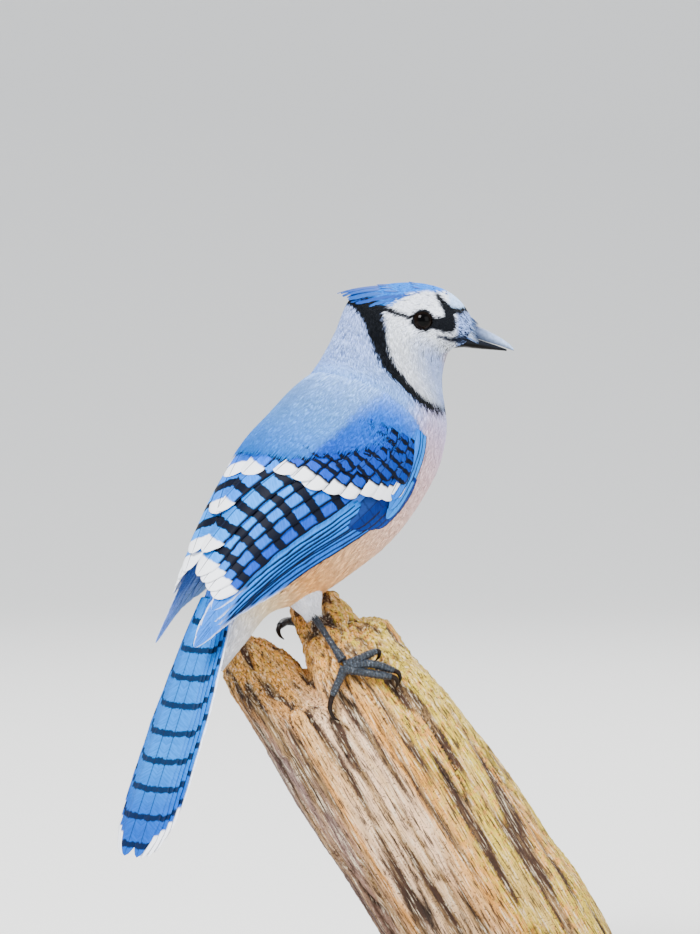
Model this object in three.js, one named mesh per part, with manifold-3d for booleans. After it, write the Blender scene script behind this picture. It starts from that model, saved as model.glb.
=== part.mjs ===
// A life-size blue jay, Cyanocitta cristata, perched on the broken end of a weathered limb,
// which two short rods hold above a round plinth. Millimetres, +Z up.
// The bird heads along +X, and the origin is the middle of the plinth's underside.
import * as THREE from "three";
import { mergeVertices } from "three/addons/utils/BufferGeometryUtils.js";
import Module from "manifold-3d";

const wasm = await Module();
wasm.setup();

// Driving dimensions
const MIDLINE_Y = 23.5; // the bird's plane of symmetry
const LIMB_TURN = -35; // degrees from +X to the way the limb leans, and to the way the bird looks
const NECK_X = -0.6; // the upright line that the head turns about
const GAP = 0.3; // between pieces that touch
const TAIL_LENGTH = 126;
const EYE_RADIUS = 4.5;
const EYE_AT = { forward: 14.8, up: 273.6 };
const EYE_SUNK = 2.9; // from the side of the head to the middle of the eye
const PLINTH_RADIUS = 85;
const PLINTH_HEIGHT = 12;
const ROD_RADIUS = 2.5;
const LIMB_BOTTOM = 24;

// Finishes
const finish = (color, roughness, metalness = 0) =>
  new THREE.MeshStandardMaterial({ color, roughness, metalness });
const BLUE = finish(0x2f7fd6, 0.6);
const MANTLE = finish(0x8fa6d8, 0.75);
const FACE = finish(0xd8dff0, 0.8);
const HORN = finish(0x2a2e38, 0.35);
const EYE = finish(0x120c0a, 0.08);
const SCALE = finish(0x3c4250, 0.5);
const THIGH = finish(0xe2e2ea, 0.85);
const WOOD = finish(0xb08a55, 0.9);
const WALNUT = finish(0x4a3020, 0.45);
const STEEL = finish(0x9a9da2, 0.35, 0.9);

const radians = THREE.MathUtils.degToRad;
const vec = (x, y, z) => new THREE.Vector3(x, y, z);
const mix = (a, b, t) => a + (b - a) * t;

// A smooth run through a list of equally long rows of numbers, at place t in the list.
function between(rows, t) {
  const last = rows.length - 1;
  const place = Math.min(Math.max(t, 0), last - 1e-9);
  const i = Math.floor(place);
  const x = place - i;
  return rows[0].map((_, k) => {
    const b = rows[i][k];
    const c = rows[i + 1][k];
    const a = i === 0 ? 2 * b - c : rows[i - 1][k];
    const d = i === last - 1 ? 2 * c - b : rows[i + 2][k];
    const cubic = -a + 3 * b - 3 * c + d;
    return 0.5 * (2 * b + (c - a) * x + (2 * a - 5 * b + 4 * c - d) * x * x + cubic * x ** 3);
  });
}

// A closed surface through rings of equally many points. With mirrored(j) true, the strip after
// corner j is split by its other diagonal.
function loft(rings, mirrored = () => false) {
  const n = rings[0].length;
  const points = rings.flat();
  const faces = [];
  for (let i = 0; i < rings.length - 1; i++) {
    for (let j = 0; j < n; j++) {
      const a = i * n + j;
      const b = i * n + ((j + 1) % n);
      if (mirrored(j)) faces.push([a, b, a + n], [b, b + n, a + n]);
      else faces.push([a, b, b + n], [a, b + n, a + n]);
    }
  }
  const end = (rings.length - 1) * n;
  for (let j = 1; j < n - 1; j++) {
    faces.push([0, j + 1, j], [end, end + j, end + j + 1]);
  }
  let volume = 0;
  for (const [a, b, c] of faces) {
    volume += points[a].dot(points[b].clone().cross(points[c]));
  }
  const geometry = new THREE.BufferGeometry().setFromPoints(points);
  geometry.setIndex((volume < 0 ? faces.map(([a, b, c]) => [a, c, b]) : faces).flat());
  return geometry;
}

function solid(geometry) {
  const bare = geometry.clone();
  bare.deleteAttribute("normal");
  bare.deleteAttribute("uv");
  const merged = mergeVertices(bare, 1e-4);
  return new wasm.Manifold(
    new wasm.Mesh({
      numProp: 3,
      vertProperties: new Float32Array(merged.attributes.position.array),
      triVerts: new Uint32Array(merged.index.array),
    }),
  );
}

const fuse = (solids) => solids.reduce((all, one) => all.add(one));

// The largest closed body of a solid, as a geometry.
function geometryOf(made) {
  const bodies = made.decompose().sort((a, b) => b.volume() - a.volume());
  const mesh = bodies[0].getMesh();
  const geometry = new THREE.BufferGeometry();
  geometry.setAttribute("position", new THREE.BufferAttribute(mesh.vertProperties, 3));
  geometry.setIndex(new THREE.BufferAttribute(mesh.triVerts, 1));
  return geometry;
}

function mirrorAcrossMidline(made) {
  const geometry = geometryOf(made).scale(1, -1, 1);
  const corners = geometry.index.array;
  for (let i = 0; i < corners.length; i += 3) {
    [corners[i + 1], corners[i + 2]] = [corners[i + 2], corners[i + 1]];
  }
  return geometry;
}

function node(name, made, material) {
  const geometry = made.isBufferGeometry ? made : geometryOf(made);
  const mesh = new THREE.Mesh(geometry, material);
  mesh.name = name;
  return mesh;
}

// Body stations run from the tail's root to the bill. Each row holds the ring's upper point
// (x, z), its lower point (x, z), its half width and how far it is turned about the neck.
function trunkRing(x, z, slope, halfDepth, halfWidth) {
  const lean = [-Math.sin(radians(slope)) * halfDepth, Math.cos(radians(slope)) * halfDepth];
  return [x + lean[0], z + lean[1], x - lean[0], z - lean[1], halfWidth, 0];
}
const BODY = [
  [-92.5, 140, -83, 136, 8, 0],
  [-87.5, 155, -72, 147, 11, 0],
  [-81, 171, -61, 158, 14.5, 0],
  trunkRing(-57, 177, 48, 21.5, 20),
  trunkRing(-44.5, 190.5, 50, 28.5, 25.5),
  trunkRing(-31, 202.5, 52, 32, 28),
  trunkRing(-20, 214.5, 55, 33, 29),
  trunkRing(-9.5, 228.5, 58, 32.5, 29),
  trunkRing(-3.5, 240.5, 63, 29.5, 27),
  // From here on, x is measured forward from the neck's upright line, along the turned head.
  [-25.2, 258, 22.4, 244, 24, -12],
  [-19.6, 268, 22.4, 250, 21.5, -24],
  [-16, 277.2, 23.2, 255.2, 19, -32],
  [-12.4, 282.8, 24.4, 259.2, 17.5, LIMB_TURN],
  [-4.4, 286.4, 25.6, 261.2, 16.5, LIMB_TURN],
  [6, 288, 26.4, 262, 15.5, LIMB_TURN],
  [16, 287.6, 27.6, 262.6, 14, LIMB_TURN],
  [24.8, 284.8, 29.2, 263, 11, LIMB_TURN],
  [31.2, 279.6, 31.2, 263.2, 8, LIMB_TURN],
  [35.6, 272.4, 33.2, 263.8, 5, LIMB_TURN],
];

// A point of the body's surface: place along the stations, angle in degrees from the back towards
// the left, and how far the surface is grown.
function bodyPoint(t, angle, grow = 0) {
  const [ux, uz, lx, lz, half, turn] = between(BODY, t);
  const turned = Math.abs(turn) > 1e-6;
  const height = Math.hypot(ux - lx, uz - lz) / 2;
  const up = Math.cos(radians(angle)) * (1 + grow / height);
  const side = Math.sin(radians(angle)) * (half + grow);
  const forward = (ux + lx) / 2 + ((ux - lx) / 2) * up - (turned ? 0 : NECK_X);
  const yaw = radians(turn);
  return vec(
    NECK_X + forward * Math.cos(yaw) - side * Math.sin(yaw),
    forward * Math.sin(yaw) + side * Math.cos(yaw),
    (uz + lz) / 2 + ((uz - lz) / 2) * up,
  );
}

const AROUND_BODY = 24;
function bodyLoft(grow = 0) {
  const steps = 36;
  const last = BODY.length - 1;
  const rings = [];
  for (let i = 0; i <= steps; i++) {
    const ring = [];
    for (let j = 0; j < AROUND_BODY; j++) {
      ring.push(bodyPoint((last * i) / steps, (360 * j) / AROUND_BODY, grow));
    }
    rings.push(ring);
  }
  return solid(loft(rings));
}

// The plane of the body's ring at place t, facing the head.
function ringPlane(t) {
  const [back, side, belly] = [0, 90, 180].map((angle) => bodyPoint(t, angle));
  const normal = belly.clone().sub(back).cross(side.clone().sub(back)).normalize();
  const ahead = bodyPoint(t + 0.05, 90).sub(side);
  if (normal.dot(ahead) < 0) normal.negate();
  return { normal: normal.toArray(), offset: normal.dot(back) };
}
const ahead = (made, plane) => made.trimByPlane(plane.normal, plane.offset + GAP / 2);
const behind = (made, plane) =>
  made.trimByPlane(plane.normal.map((x) => -x), -plane.offset + GAP / 2);

// A flat, tapering vane. frames holds, for each step, its middle point, the unit way across it and
// the unit way out of it. widths are half widths, and tilt lifts the edge that across points to.
const VANE_EDGE = 0.25;
const VANE_RIDGE = 0.4;
function vane(frames, widths, tilt, rounding) {
  const rings = frames.map(({ point, across, out }, i) => {
    const half = widths[i];
    const edge = (way) =>
      point
        .clone()
        .addScaledVector(across, half * way)
        .addScaledVector(out, tilt * way * (half / Math.max(...widths)) - (half * half) / (2 * rounding));
    const lift = (p, d) => p.clone().addScaledVector(out, d);
    const low = edge(-1);
    const high = edge(1);
    return [
      lift(low, VANE_EDGE),
      lift(point, VANE_RIDGE),
      lift(high, VANE_EDGE),
      lift(high, -VANE_EDGE),
      lift(point, -VANE_RIDGE),
      lift(low, -VANE_EDGE),
    ];
  });
  return solid(loft(rings, (j) => j > 2));
}

// The sheet that the left wing's feathers lie on, from the shoulder back to the wing's tip.
const SHEET = [
  trunkRing(-4, 243, 62, 27.5, 26.5),
  trunkRing(-12.8, 229.2, 58, 32, 30.5),
  trunkRing(-22.6, 215.2, 55, 33.5, 31.5),
  trunkRing(-33.8, 203.7, 52, 33.5, 31),
  trunkRing(-47.5, 191.6, 50, 30.5, 28.5),
  trunkRing(-61.5, 178.6, 50, 25.5, 24.5),
  trunkRing(-75.5, 164, 51, 20.5, 20.5),
  trunkRing(-88, 150.5, 54, 15, 17.5),
  trunkRing(-100, 137, 57, 10, 15.5),
];
function sheetPoint(t, angle, lift = 0) {
  const [ux, uz, lx, lz, half] = between(SHEET, t);
  const at = (a) => {
    const up = Math.cos(radians(a));
    return vec(
      (ux + lx) / 2 + ((ux - lx) / 2) * up,
      half * Math.sin(radians(a)),
      (uz + lz) / 2 + ((uz - lz) / 2) * up,
    );
  };
  const point = at(angle);
  const middle = vec((ux + lx) / 2, 0, (uz + lz) / 2);
  return point.addScaledVector(point.clone().sub(middle).normalize(), lift);
}

// A feather on the sheet. root and tip are [place, angle]; half is its greatest half width.
const FEATHER_STEPS = [0, 0.45, 0.82, 1];
function sheetFeather({ root, tip, half, lift, tilt, shape, bow = 0 }) {
  const at = (s, extra = 0) =>
    sheetPoint(
      mix(root[0], tip[0], s),
      mix(root[1], tip[1], s) + bow * Math.sin(Math.PI * s),
      mix(lift[0], lift[1], s) + extra,
    );
  const frames = FEATHER_STEPS.map((s) => {
    const point = at(s);
    const along = at(Math.min(s + 0.02, 1)).sub(at(Math.max(s - 0.02, 0)));
    const out = at(s, 1).sub(point).normalize();
    const across = along.clone().cross(out).normalize();
    return { point, across, out };
  });
  return vane(frames, shape.map((w) => w * half), tilt, 34);
}
const BLUNT = [0.6, 1, 0.92, 0.35];
const POINTED = [0.6, 1, 0.66, 0.15];
const COVERT = [0.65, 1, 0.9, 0.4];

// A tier runs from its first to its last feather in count equal steps.
function tier({ count, root, tip, half, ...rest }) {
  const feathers = [];
  for (let i = 0; i < count; i++) {
    const s = count === 1 ? 0 : i / (count - 1);
    feathers.push(
      sheetFeather({
        root: between(root, s * (root.length - 1)),
        tip: between(tip, s * (tip.length - 1)),
        half: mix(half[0], half[1], s),
        ...rest,
      }),
    );
  }
  return feathers;
}

// The fleshy fore part of the folded wing, thinning to its edges.
function wingCore() {
  const rings = [];
  const places = [0.75, 1.4, 2.2, 3, 4, 5.1];
  const top = [58, 41, 32, 24, 18, 18];
  const bottom = [96, 114, 117, 110, 97, 78];
  const depth = [0.6, 1.4, 2.2, 2.0, 1.4, 0.8];
  const across = 7;
  places.forEach((place, i) => {
    const outer = [];
    const inner = [];
    for (let j = 0; j <= across; j++) {
      const s = j / across;
      const angle = mix(top[i], bottom[i], s);
      const swell = Math.sqrt(Math.max(0, 1 - (2 * s - 1) ** 4));
      outer.push(sheetPoint(place, angle, mix(0.35, depth[i], swell)));
      inner.push(sheetPoint(place, angle, -2.5));
    }
    rings.push([...outer, ...inner.reverse()]);
  });
  return solid(loft(rings, (j) => j > across));
}

function leftWing(body, thigh) {
  const feathers = [
    // primaries, innermost first
    ...tier({
      count: 6,
      root: [[3.2, 84], [2.9, 98], [2.6, 110]],
      tip: [[6.75, 47], [7.62, 50], [7.2, 60], [6.1, 82]],
      half: [6.6, 4.6],
      lift: [1.4, 1.3],
      tilt: 1,
      shape: POINTED,
    }),
    // secondaries
    ...tier({
      count: 4,
      root: [[2.6, 56], [2.9, 80]],
      tip: [[6.2, 15], [6.5, 41]],
      half: [7.5, 6.5],
      lift: [2, 2.1],
      tilt: 1,
      shape: BLUNT,
    }),
    // tertials
    ...tier({
      count: 3,
      root: [[2.1, 34], [2.5, 50]],
      tip: [[3.95, 15], [5.65, 20]],
      half: [6.5, 7],
      lift: [2.4, 3.1],
      tilt: 0.8,
      shape: BLUNT,
    }),
    // greater coverts of the secondaries
    ...tier({
      count: 5,
      root: [[1.9, 42], [1.65, 72], [1.4, 96]],
      tip: [[3.45, 33], [3.35, 60], [2.6, 97]],
      half: [7.4, 6.2],
      lift: [1.9, 3.4],
      tilt: 0.9,
      shape: COVERT,
    }),
    // coverts of the primaries, and the alula
    ...tier({
      count: 2,
      root: [[1.9, 98], [1.7, 112]],
      tip: [[3.75, 98], [3.25, 113]],
      half: [5.6, 4.4],
      lift: [2.4, 2.4],
      tilt: 0.7,
      shape: COVERT,
    }),
    // median coverts
    ...tier({
      count: 4,
      root: [[1.1, 50], [0.95, 98]],
      tip: [[2.45, 44], [2.1, 98]],
      half: [7.8, 7],
      lift: [1.6, 3.5],
      tilt: 0.7,
      shape: COVERT,
    }),
  ];
  return fuse([wingCore(), ...feathers]).subtract(body).subtract(thigh);
}

// The tail's feathers, the middle pair on top, each outer one lower and shorter.
const TAIL_SLOPE = 68.8; // degrees below level
const TAIL_ROOT = [-77.9, 181.6];
const RECTRIX_PAIRS = 6;
function tailPoint(along, across, below) {
  const [c, s] = [Math.cos(radians(TAIL_SLOPE)), Math.sin(radians(TAIL_SLOPE))];
  return vec(
    TAIL_ROOT[0] - c * along + s * below,
    across,
    TAIL_ROOT[1] - s * along - c * below,
  );
}
const ROOF = 2.4; // how far the tail's edges hang below its middle
const TAIL_HALF = 22;
function rectrix(pair, side) {
  const out = pair / (RECTRIX_PAIRS - 1);
  const length = TAIL_LENGTH - 16 * out ** 3;
  const tipAcross = mix(4.4, 15.6, out);
  const rootAcross = mix(1.8, 7, out);
  const half = mix(8, 6.4, out);
  const first = 26; // where the vane leaves the coverts
  const steps = [0, 0.5, 0.9, 1];
  const frames = steps.map((s) => {
    const along = mix(first, length, s);
    const across = side * mix(rootAcross, tipAcross, (along / length) ** 0.6);
    const drop = ROOF * (across / TAIL_HALF) ** 2 + 0.5 * pair;
    const lean = side * ((2 * ROOF * across * side) / TAIL_HALF ** 2);
    return {
      point: tailPoint(along, across, drop),
      across: tailPoint(0, 1, lean).sub(tailPoint(0, 0, 0)).normalize(),
      out: tailPoint(0, -lean, -1).sub(tailPoint(0, 0, 0)).normalize(),
    };
  });
  return vane(frames, [0.6, 1, 0.85, 0.3].map((w) => w * half), 0, 60);
}
function tail(body, cut) {
  const pieces = [behind(body, cut)];
  for (let pair = 0; pair < RECTRIX_PAIRS; pair++) {
    pieces.push(rectrix(pair, 1), rectrix(pair, -1));
  }
  return behind(fuse(pieces), cut);
}

// The head's own frame: forward along the bill, left, and up, from the foot of the neck's line.
const headPoint = (forward, left, up) => {
  const yaw = radians(LIMB_TURN);
  return vec(
    NECK_X + forward * Math.cos(yaw) - left * Math.sin(yaw),
    forward * Math.sin(yaw) + left * Math.cos(yaw),
    up,
  );
};

// How far the head's side reaches at a place seen from the side.
function headHalfWidth(forward, up) {
  let best = { miss: Infinity, half: 0 };
  for (let t = 11; t <= 18; t += 0.05) {
    const [ux, uz, lx, lz, half] = between(BODY, t);
    for (let angle = 20; angle <= 160; angle += 2) {
      const share = Math.cos(radians(angle));
      const x = (ux + lx) / 2 + ((ux - lx) / 2) * share;
      const z = (uz + lz) / 2 + ((uz - lz) / 2) * share;
      const miss = Math.hypot(x - forward, z - up);
      if (miss < best.miss) best = { miss, half: half * Math.sin(radians(angle)) };
    }
  }
  return best.half;
}

// A tube of round rings along points in the head's frame or the limb's frame.
function taperedTube(points, radii, sides, flatten = 1) {
  const curve = new THREE.CatmullRomCurve3(points, false, "centripetal");
  const rings = radii.map((_, i) => {
    const s = i / (radii.length - 1);
    const point = curve.getPoint(s);
    const along = curve.getTangent(s);
    const across = along.clone().cross(vec(0.31, 0.86, 0.4)).normalize();
    const out = across.clone().cross(along).normalize();
    const ring = [];
    for (let j = 0; j < sides; j++) {
      const angle = (2 * Math.PI * j) / sides;
      ring.push(
        point
          .clone()
          .addScaledVector(across, radii[i] * Math.cos(angle))
          .addScaledVector(out, radii[i] * flatten * Math.sin(angle)),
      );
    }
    return ring;
  });
  return solid(loft(rings));
}

// The bill's halves: rows of forward, lower edge, upper edge and half width.
const UPPER_BILL = [
  [24, 265.9, 272.5, 5.2],
  [31, 266.3, 272.8, 4.6],
  [36, 266.2, 271.5, 3.9],
  [41, 264.7, 269.3, 3],
  [46, 263.2, 266.6, 2],
  [50, 261.7, 263.8, 1],
  [51.8, 261, 261.9, 0.35],
];
const LOWER_BILL = [
  [24, 261.6, 265.6, 4.9],
  [31, 262.3, 266, 4.3],
  [36, 262.2, 265.9, 3.6],
  [41, 261.8, 264.4, 2.7],
  [45.5, 261.4, 262.9, 1.7],
  [49, 260.9, 261.6, 0.5],
];
function billHalf(rows, ridge) {
  const sides = 10;
  const rings = rows.map(([forward, low, high, half]) => {
    const ring = [];
    for (let j = 0; j < sides; j++) {
      // half an oval, flat towards the other half of the bill
      const angle = (Math.PI * j) / (sides - 1);
      const flat = ridge > 0 ? low : high;
      const height = (high - low) * Math.sin(angle) ** 0.8 * ridge;
      ring.push(headPoint(forward, half * Math.cos(angle), flat + height));
    }
    return ring;
  });
  return solid(loft(rings));
}

// Crest feathers, lying back over the crown and past the nape.
function crest() {
  const feathers = [];
  const rows = [
    // count, forward of root, forward of tip, height of tip, spread, half width
    [3, 20, -18.6, 284, 2.6, 3],
    [3, 12, -16, 281.4, 7, 3.4],
    [4, 4, -11, 278.4, 11, 3.4],
  ];
  for (const [count, root, tipForward, tipUp, spread, half] of rows) {
    for (let i = 0; i < count; i++) {
      const side = count === 1 ? 0 : (2 * i) / (count - 1) - 1;
      const left = side * spread;
      const rootUp = 287.2 - 0.055 * left * left - (root > 18 ? 2.6 : 0);
      const arch = headPoint(mix(root, tipForward, 0.45), left * 1.02, 289.2 - 0.045 * left * left);
      const curve = new THREE.QuadraticBezierCurve3(
        headPoint(root, left * 0.8, rootUp - 1.2),
        arch,
        headPoint(tipForward + 3 * Math.abs(side), left * 1.05, tipUp - 0.6 * Math.abs(side)),
      );
      const crown = headPoint(5, 0, 266);
      const frames = [0, 0.4, 0.8, 1].map((s) => {
        const point = curve.getPoint(s);
        const along = curve.getTangent(s);
        const out = point.clone().sub(crown);
        out.addScaledVector(along, -out.dot(along)).normalize();
        return { point, across: along.clone().cross(out).normalize(), out };
      });
      feathers.push(vane(frames, [0.7, 1, 0.7, 0.18].map((w) => w * half), 0, 14));
    }
  }
  return feathers;
}

// Bristly tufts that lie forward over the bill's root.
function nasalTufts() {
  const tufts = [];
  for (const side of [-1, 1]) {
    for (let i = 0; i < 4; i++) {
      const up = mix(274.6, 268, i / 3);
      const reach = mix(39.5, 37.5, i / 3);
      const left = side * mix(1.4, 4.4, i / 3);
      const start = headPoint(29.5, left * 1.25, up + 0.6);
      const finishPoint = headPoint(reach, left, up - 2.4);
      const middle = start.clone().lerp(finishPoint, 0.5).add(vec(0, 0, 0.8));
      tufts.push(taperedTube([start, middle, finishPoint], [1.2, 1.3, 1, 0.3], 6, 0.6));
    }
  }
  return tufts;
}

function lid(centre, outward) {
  const ring = new THREE.TorusGeometry(EYE_RADIUS * 0.93, 0.55, 6, 20);
  const turn = new THREE.Quaternion().setFromUnitVectors(vec(0, 0, 1), outward);
  return solid(ring.applyQuaternion(turn).translate(centre.x, centre.y, centre.z));
}

function ball(radius, centre, detail = 14) {
  const sphere = new THREE.SphereGeometry(radius, detail, Math.round(detail * 0.6));
  return solid(sphere.translate(centre.x, centre.y, centre.z));
}

// Points of the limb's frame: across as seen from the bird's right, depth away from there, height.
const limbPoint = (across, depth, up) => {
  const turn = radians(LIMB_TURN);
  return vec(
    across * Math.cos(turn) - depth * Math.sin(turn),
    across * Math.sin(turn) + depth * Math.cos(turn) - MIDLINE_Y,
    up,
  );
};

// A wooden prong: level slices of height, left, right, near and far edge, with grooves along it.
const GROOVES = 7;
function prong(slices, seed, grooveDepth = 0.9) {
  const sides = 24;
  const rings = slices.map(([up, left, right, near, far, slant = 0], i) => {
    const ring = [];
    for (let j = 0; j < sides; j++) {
      const angle = (2 * Math.PI * j) / sides;
      const [c, s] = [Math.cos(angle), Math.sin(angle)];
      const square = (x) => Math.sign(x) * Math.abs(x) ** 0.62;
      const wander =
        Math.sin(angle * GROOVES + seed) + 0.7 * Math.sin(angle * 11 + seed * 2.3 + i * 0.5);
      const share = 1 - (grooveDepth * (1 + wander)) / Math.max(12, (right - left) / 2);
      const across = (left + right) / 2 + ((right - left) / 2) * square(c) * share;
      const depth = (near + far) / 2 + ((far - near) / 2) * square(s) * share;
      const jag = slant ? slant * Math.sin(angle * 2 + seed) + 0.8 * Math.sin(angle * 9 + seed) : 0;
      ring.push(limbPoint(across, depth, up + jag));
    }
    return ring;
  });
  return solid(loft(rings));
}
function limb() {
  const trunk = prong(
    [
      [LIMB_BOTTOM, -13.4, 79, -23, 24],
      [50, -29.6, 64.4, -23.5, 24],
      [66, -40.5, 52, -24, 23.5],
      [84, -51.5, 40.5, -24, 23],
      [104, -62.5, 26.5, -24, 23],
      [118, -69, 14, -22, 20],
      [123, -66, 8, -16, 15],
    ],
    0.4,
  );
  const leftProng = prong(
    [
      [100, -60, -34, -20, 18],
      [118, -71.4, -36, -19.5, 17],
      [128, -77.8, -42, -15.5, 16],
      [136, -79, -48.6, -12, 14],
      [142, -79, -56, -10, 12, 0.6],
      [147, -76, -65, -8, 9, 0.6],
    ],
    1.7,
    0.5,
  );
  const middleProng = prong(
    [
      [96, -46, -4, -24.5, 20],
      [114, -39, -2, -24, 20],
      [126, -42, -8, -23, 19],
      [137, -45.4, -14, -21, 17],
      [147, -48.6, -20, -15, 13.5],
      [156, -52.2, -25.8, -7.5, 10.5, 0.5],
      [161, -52.6, -30, -4, 8.5, 1],
    ],
    2.9,
    0.5,
  );
  const spike = prong(
    [
      [154, -45, -28, -4, 7],
      [161, -42, -31, -2.5, 6],
      [166, -39, -34, -0.5, 4, 0.6],
    ],
    4.4,
    0.3,
  );
  const rightProng = prong(
    [
      [96, -20, 31, -22.5, 21],
      [114, -22, 18.6, -21, 20],
      [126, -24, 9.4, -19.5, 19],
      [136, -25, 0.8, -17, 18],
      [146, -25, -7, -12, 15, 0.6],
      [154, -24.8, -12.6, -8, 12, 1.2],
    ],
    5.2,
    0.6,
  );
  return fuse([trunk, leftProng, middleProng, spike, rightProng]);
}

// A foot in the limb's frame: toes as runs of points, each ending in a curved claw.
const TOE_RADII = [1.9, 1.75, 1.5, 1.55, 1.2];
const CLAW_RADII = [1.15, 0.95, 0.65, 0.25];
function toe(points, claw, grow) {
  const bones = points.map((p) => limbPoint(...p));
  const horn = [points.at(-1), ...claw].map((p) => limbPoint(...p));
  return taperedTube(bones, TOE_RADII.map((r) => r + grow), 8).add(
    taperedTube(horn, CLAW_RADII.map((r) => r + grow), 6),
  );
}
const RIGHT_TOES = [
  {
    points: [[-30, -24.2, 137], [-32.6, -24.6, 131], [-35, -24.4, 125.6]],
    claw: [[-36, -25.2, 121], [-34.6, -24.6, 117], [-31.8, -23.8, 115.2]],
  },
  {
    points: [[-30.4, -24.2, 137.4], [-23.6, -23.4, 140.4], [-17.6, -20.8, 143]],
    claw: [[-16.4, -20.4, 142.6], [-16.6, -19.8, 140.6], [-18, -19, 138.8]],
  },
  {
    points: [[-30.6, -24.2, 137.2], [-20, -24.2, 138.2], [-10.8, -21.2, 135.4]],
    claw: [[-8.8, -21.6, 134.4], [-8, -20.8, 132], [-8.6, -19.8, 129.8]],
  },
  {
    points: [[-30, -24.4, 136.4], [-20, -24.8, 134.4], [-11.6, -23, 133]],
    claw: [[-9.8, -23, 132.2], [-9.2, -22, 130], [-9.8, -21, 128.2]],
  },
];
const LEFT_TOES = [
  {
    points: [[-48, 15, 152], [-53.5, 12.4, 152.4], [-56.2, 7, 151]],
    claw: [[-56.8, 4, 149.4], [-56, 1.6, 147.4], [-54.4, 0.6, 146]],
  },
  {
    points: [[-48, 15, 152], [-42, 15.6, 154], [-36.5, 13.6, 155]],
    claw: [[-34.6, 13.4, 154.6], [-33.6, 12.6, 152.6], [-33.8, 11.6, 151]],
  },
  {
    points: [[-48, 15, 152], [-40, 17.6, 149.4], [-32, 17, 147]],
    claw: [[-29.8, 17, 146], [-28.8, 16.2, 143.8], [-29.2, 15.2, 142]],
  },
  {
    points: [[-48, 15.4, 151.6], [-41.5, 18.4, 145.4], [-35.5, 18.8, 141]],
    claw: [[-34, 19, 139.6], [-33, 18.4, 137.4], [-33.2, 17.6, 135.6]],
  },
];
const foot = (toes, grow = 0) => fuse(toes.map(({ points, claw }) => toe(points, claw, grow)));

// Legs, from the hip inside the body down to the foot, in the limb's frame.
const RIGHT_LEG = { hip: [-52, -10, 178], ankle: [-43, -15, 157.5], foot: [-31, -24, 139.6] };
const LEFT_LEG = { hip: [-58, 8, 180], ankle: [-53.5, 9, 163.5], foot: [-48.8, 14.6, 154.6] };
const thigh = ({ hip, ankle }, grow = 0) => {
  const [top, bottom] = [limbPoint(...hip), limbPoint(...ankle)];
  const radii = [9.5, 8.6, 7, 5.2, 3.2, 2.3];
  return taperedTube([top, top.clone().lerp(bottom, 0.5), bottom], radii.map((r) => r + grow), 14);
};
const TARSUS_RADII = [1.7, 1.35, 1.3, 1.4, 1.9];
const tarsus = ({ ankle, foot: sole }) => {
  const [top, bottom] = [limbPoint(...ankle), limbPoint(...sole)];
  const start = top.clone().lerp(bottom, -0.12);
  return taperedTube([start, top.clone().lerp(bottom, 0.5), bottom], TARSUS_RADII, 10);
};
const bareTarsus = (leg, toes) => tarsus(leg).subtract(thigh(leg, GAP)).subtract(foot(toes, GAP));

function rod(across, depth) {
  const height = LIMB_BOTTOM - PLINTH_HEIGHT - 2 * GAP;
  const geometry = new THREE.CylinderGeometry(ROD_RADIUS, ROD_RADIUS, height, 20);
  const place = limbPoint(across, depth, PLINTH_HEIGHT + GAP + height / 2);
  return solid(geometry.rotateX(Math.PI / 2).translate(place.x, place.y, place.z));
}
function plinth() {
  const bevel = 1.5;
  const profile = [
    [0, 0],
    [PLINTH_RADIUS, 0],
    [PLINTH_RADIUS, PLINTH_HEIGHT - bevel],
    [PLINTH_RADIUS - bevel, PLINTH_HEIGHT],
    [0, PLINTH_HEIGHT],
  ].map(([x, y]) => new THREE.Vector2(x, y));
  const turned = new THREE.LatheGeometry(profile, 64).rotateX(Math.PI / 2);
  return solid(turned.translate(0, -MIDLINE_Y, 0));
}

// Assembly, in the bird's frame
const NECK_PLANE = ringPlane(8.6);
const HEAD_PLANE = ringPlane(11.4);
const TAIL_PLANE = ringPlane(2.2);

const body = bodyLoft();
const grownBody = bodyLoft(GAP);
const rightThigh = thigh(RIGHT_LEG);
const leftThigh = thigh(LEFT_LEG);

const eyeSide = headHalfWidth(EYE_AT.forward, EYE_AT.up);
const eyes = [-1, 1].map((side) => {
  const outward = headPoint(0.16, side, 0.1).sub(headPoint(0, 0, 0)).normalize();
  return {
    centre: headPoint(EYE_AT.forward, side * (eyeSide - EYE_SUNK), EYE_AT.up),
    rim: headPoint(EYE_AT.forward + 0.1, side * (eyeSide - 1.3), EYE_AT.up + 0.1),
    outward,
  };
});
let head = ahead(fuse([body, ...crest(), ...nasalTufts()]), HEAD_PLANE);
for (const { centre, rim, outward } of eyes) {
  head = head.add(lid(rim, outward)).subtract(ball(EYE_RADIUS + GAP, centre));
}
const upperBill = billHalf(UPPER_BILL, 1);
const lowerBill = billHalf(LOWER_BILL, -1);
const nostrils = [-1, 1].map((side) => ball(0.8, headPoint(37.2, side * 3.3, 269.2), 8));
const tufts = nasalTufts();
const billUpper = upperBill.subtract(fuse([grownBody, ...nostrils, ...tufts]));

const leftWingSolid = leftWing(grownBody, thigh(LEFT_LEG, GAP));
const rightWingSolid = mirrorAcrossMidline(leftWingSolid);

const rightFoot = foot(RIGHT_TOES);
const leftFoot = foot(LEFT_TOES);
const perch = limb().subtract(foot(RIGHT_TOES, GAP)).subtract(foot(LEFT_TOES, GAP));

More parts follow.
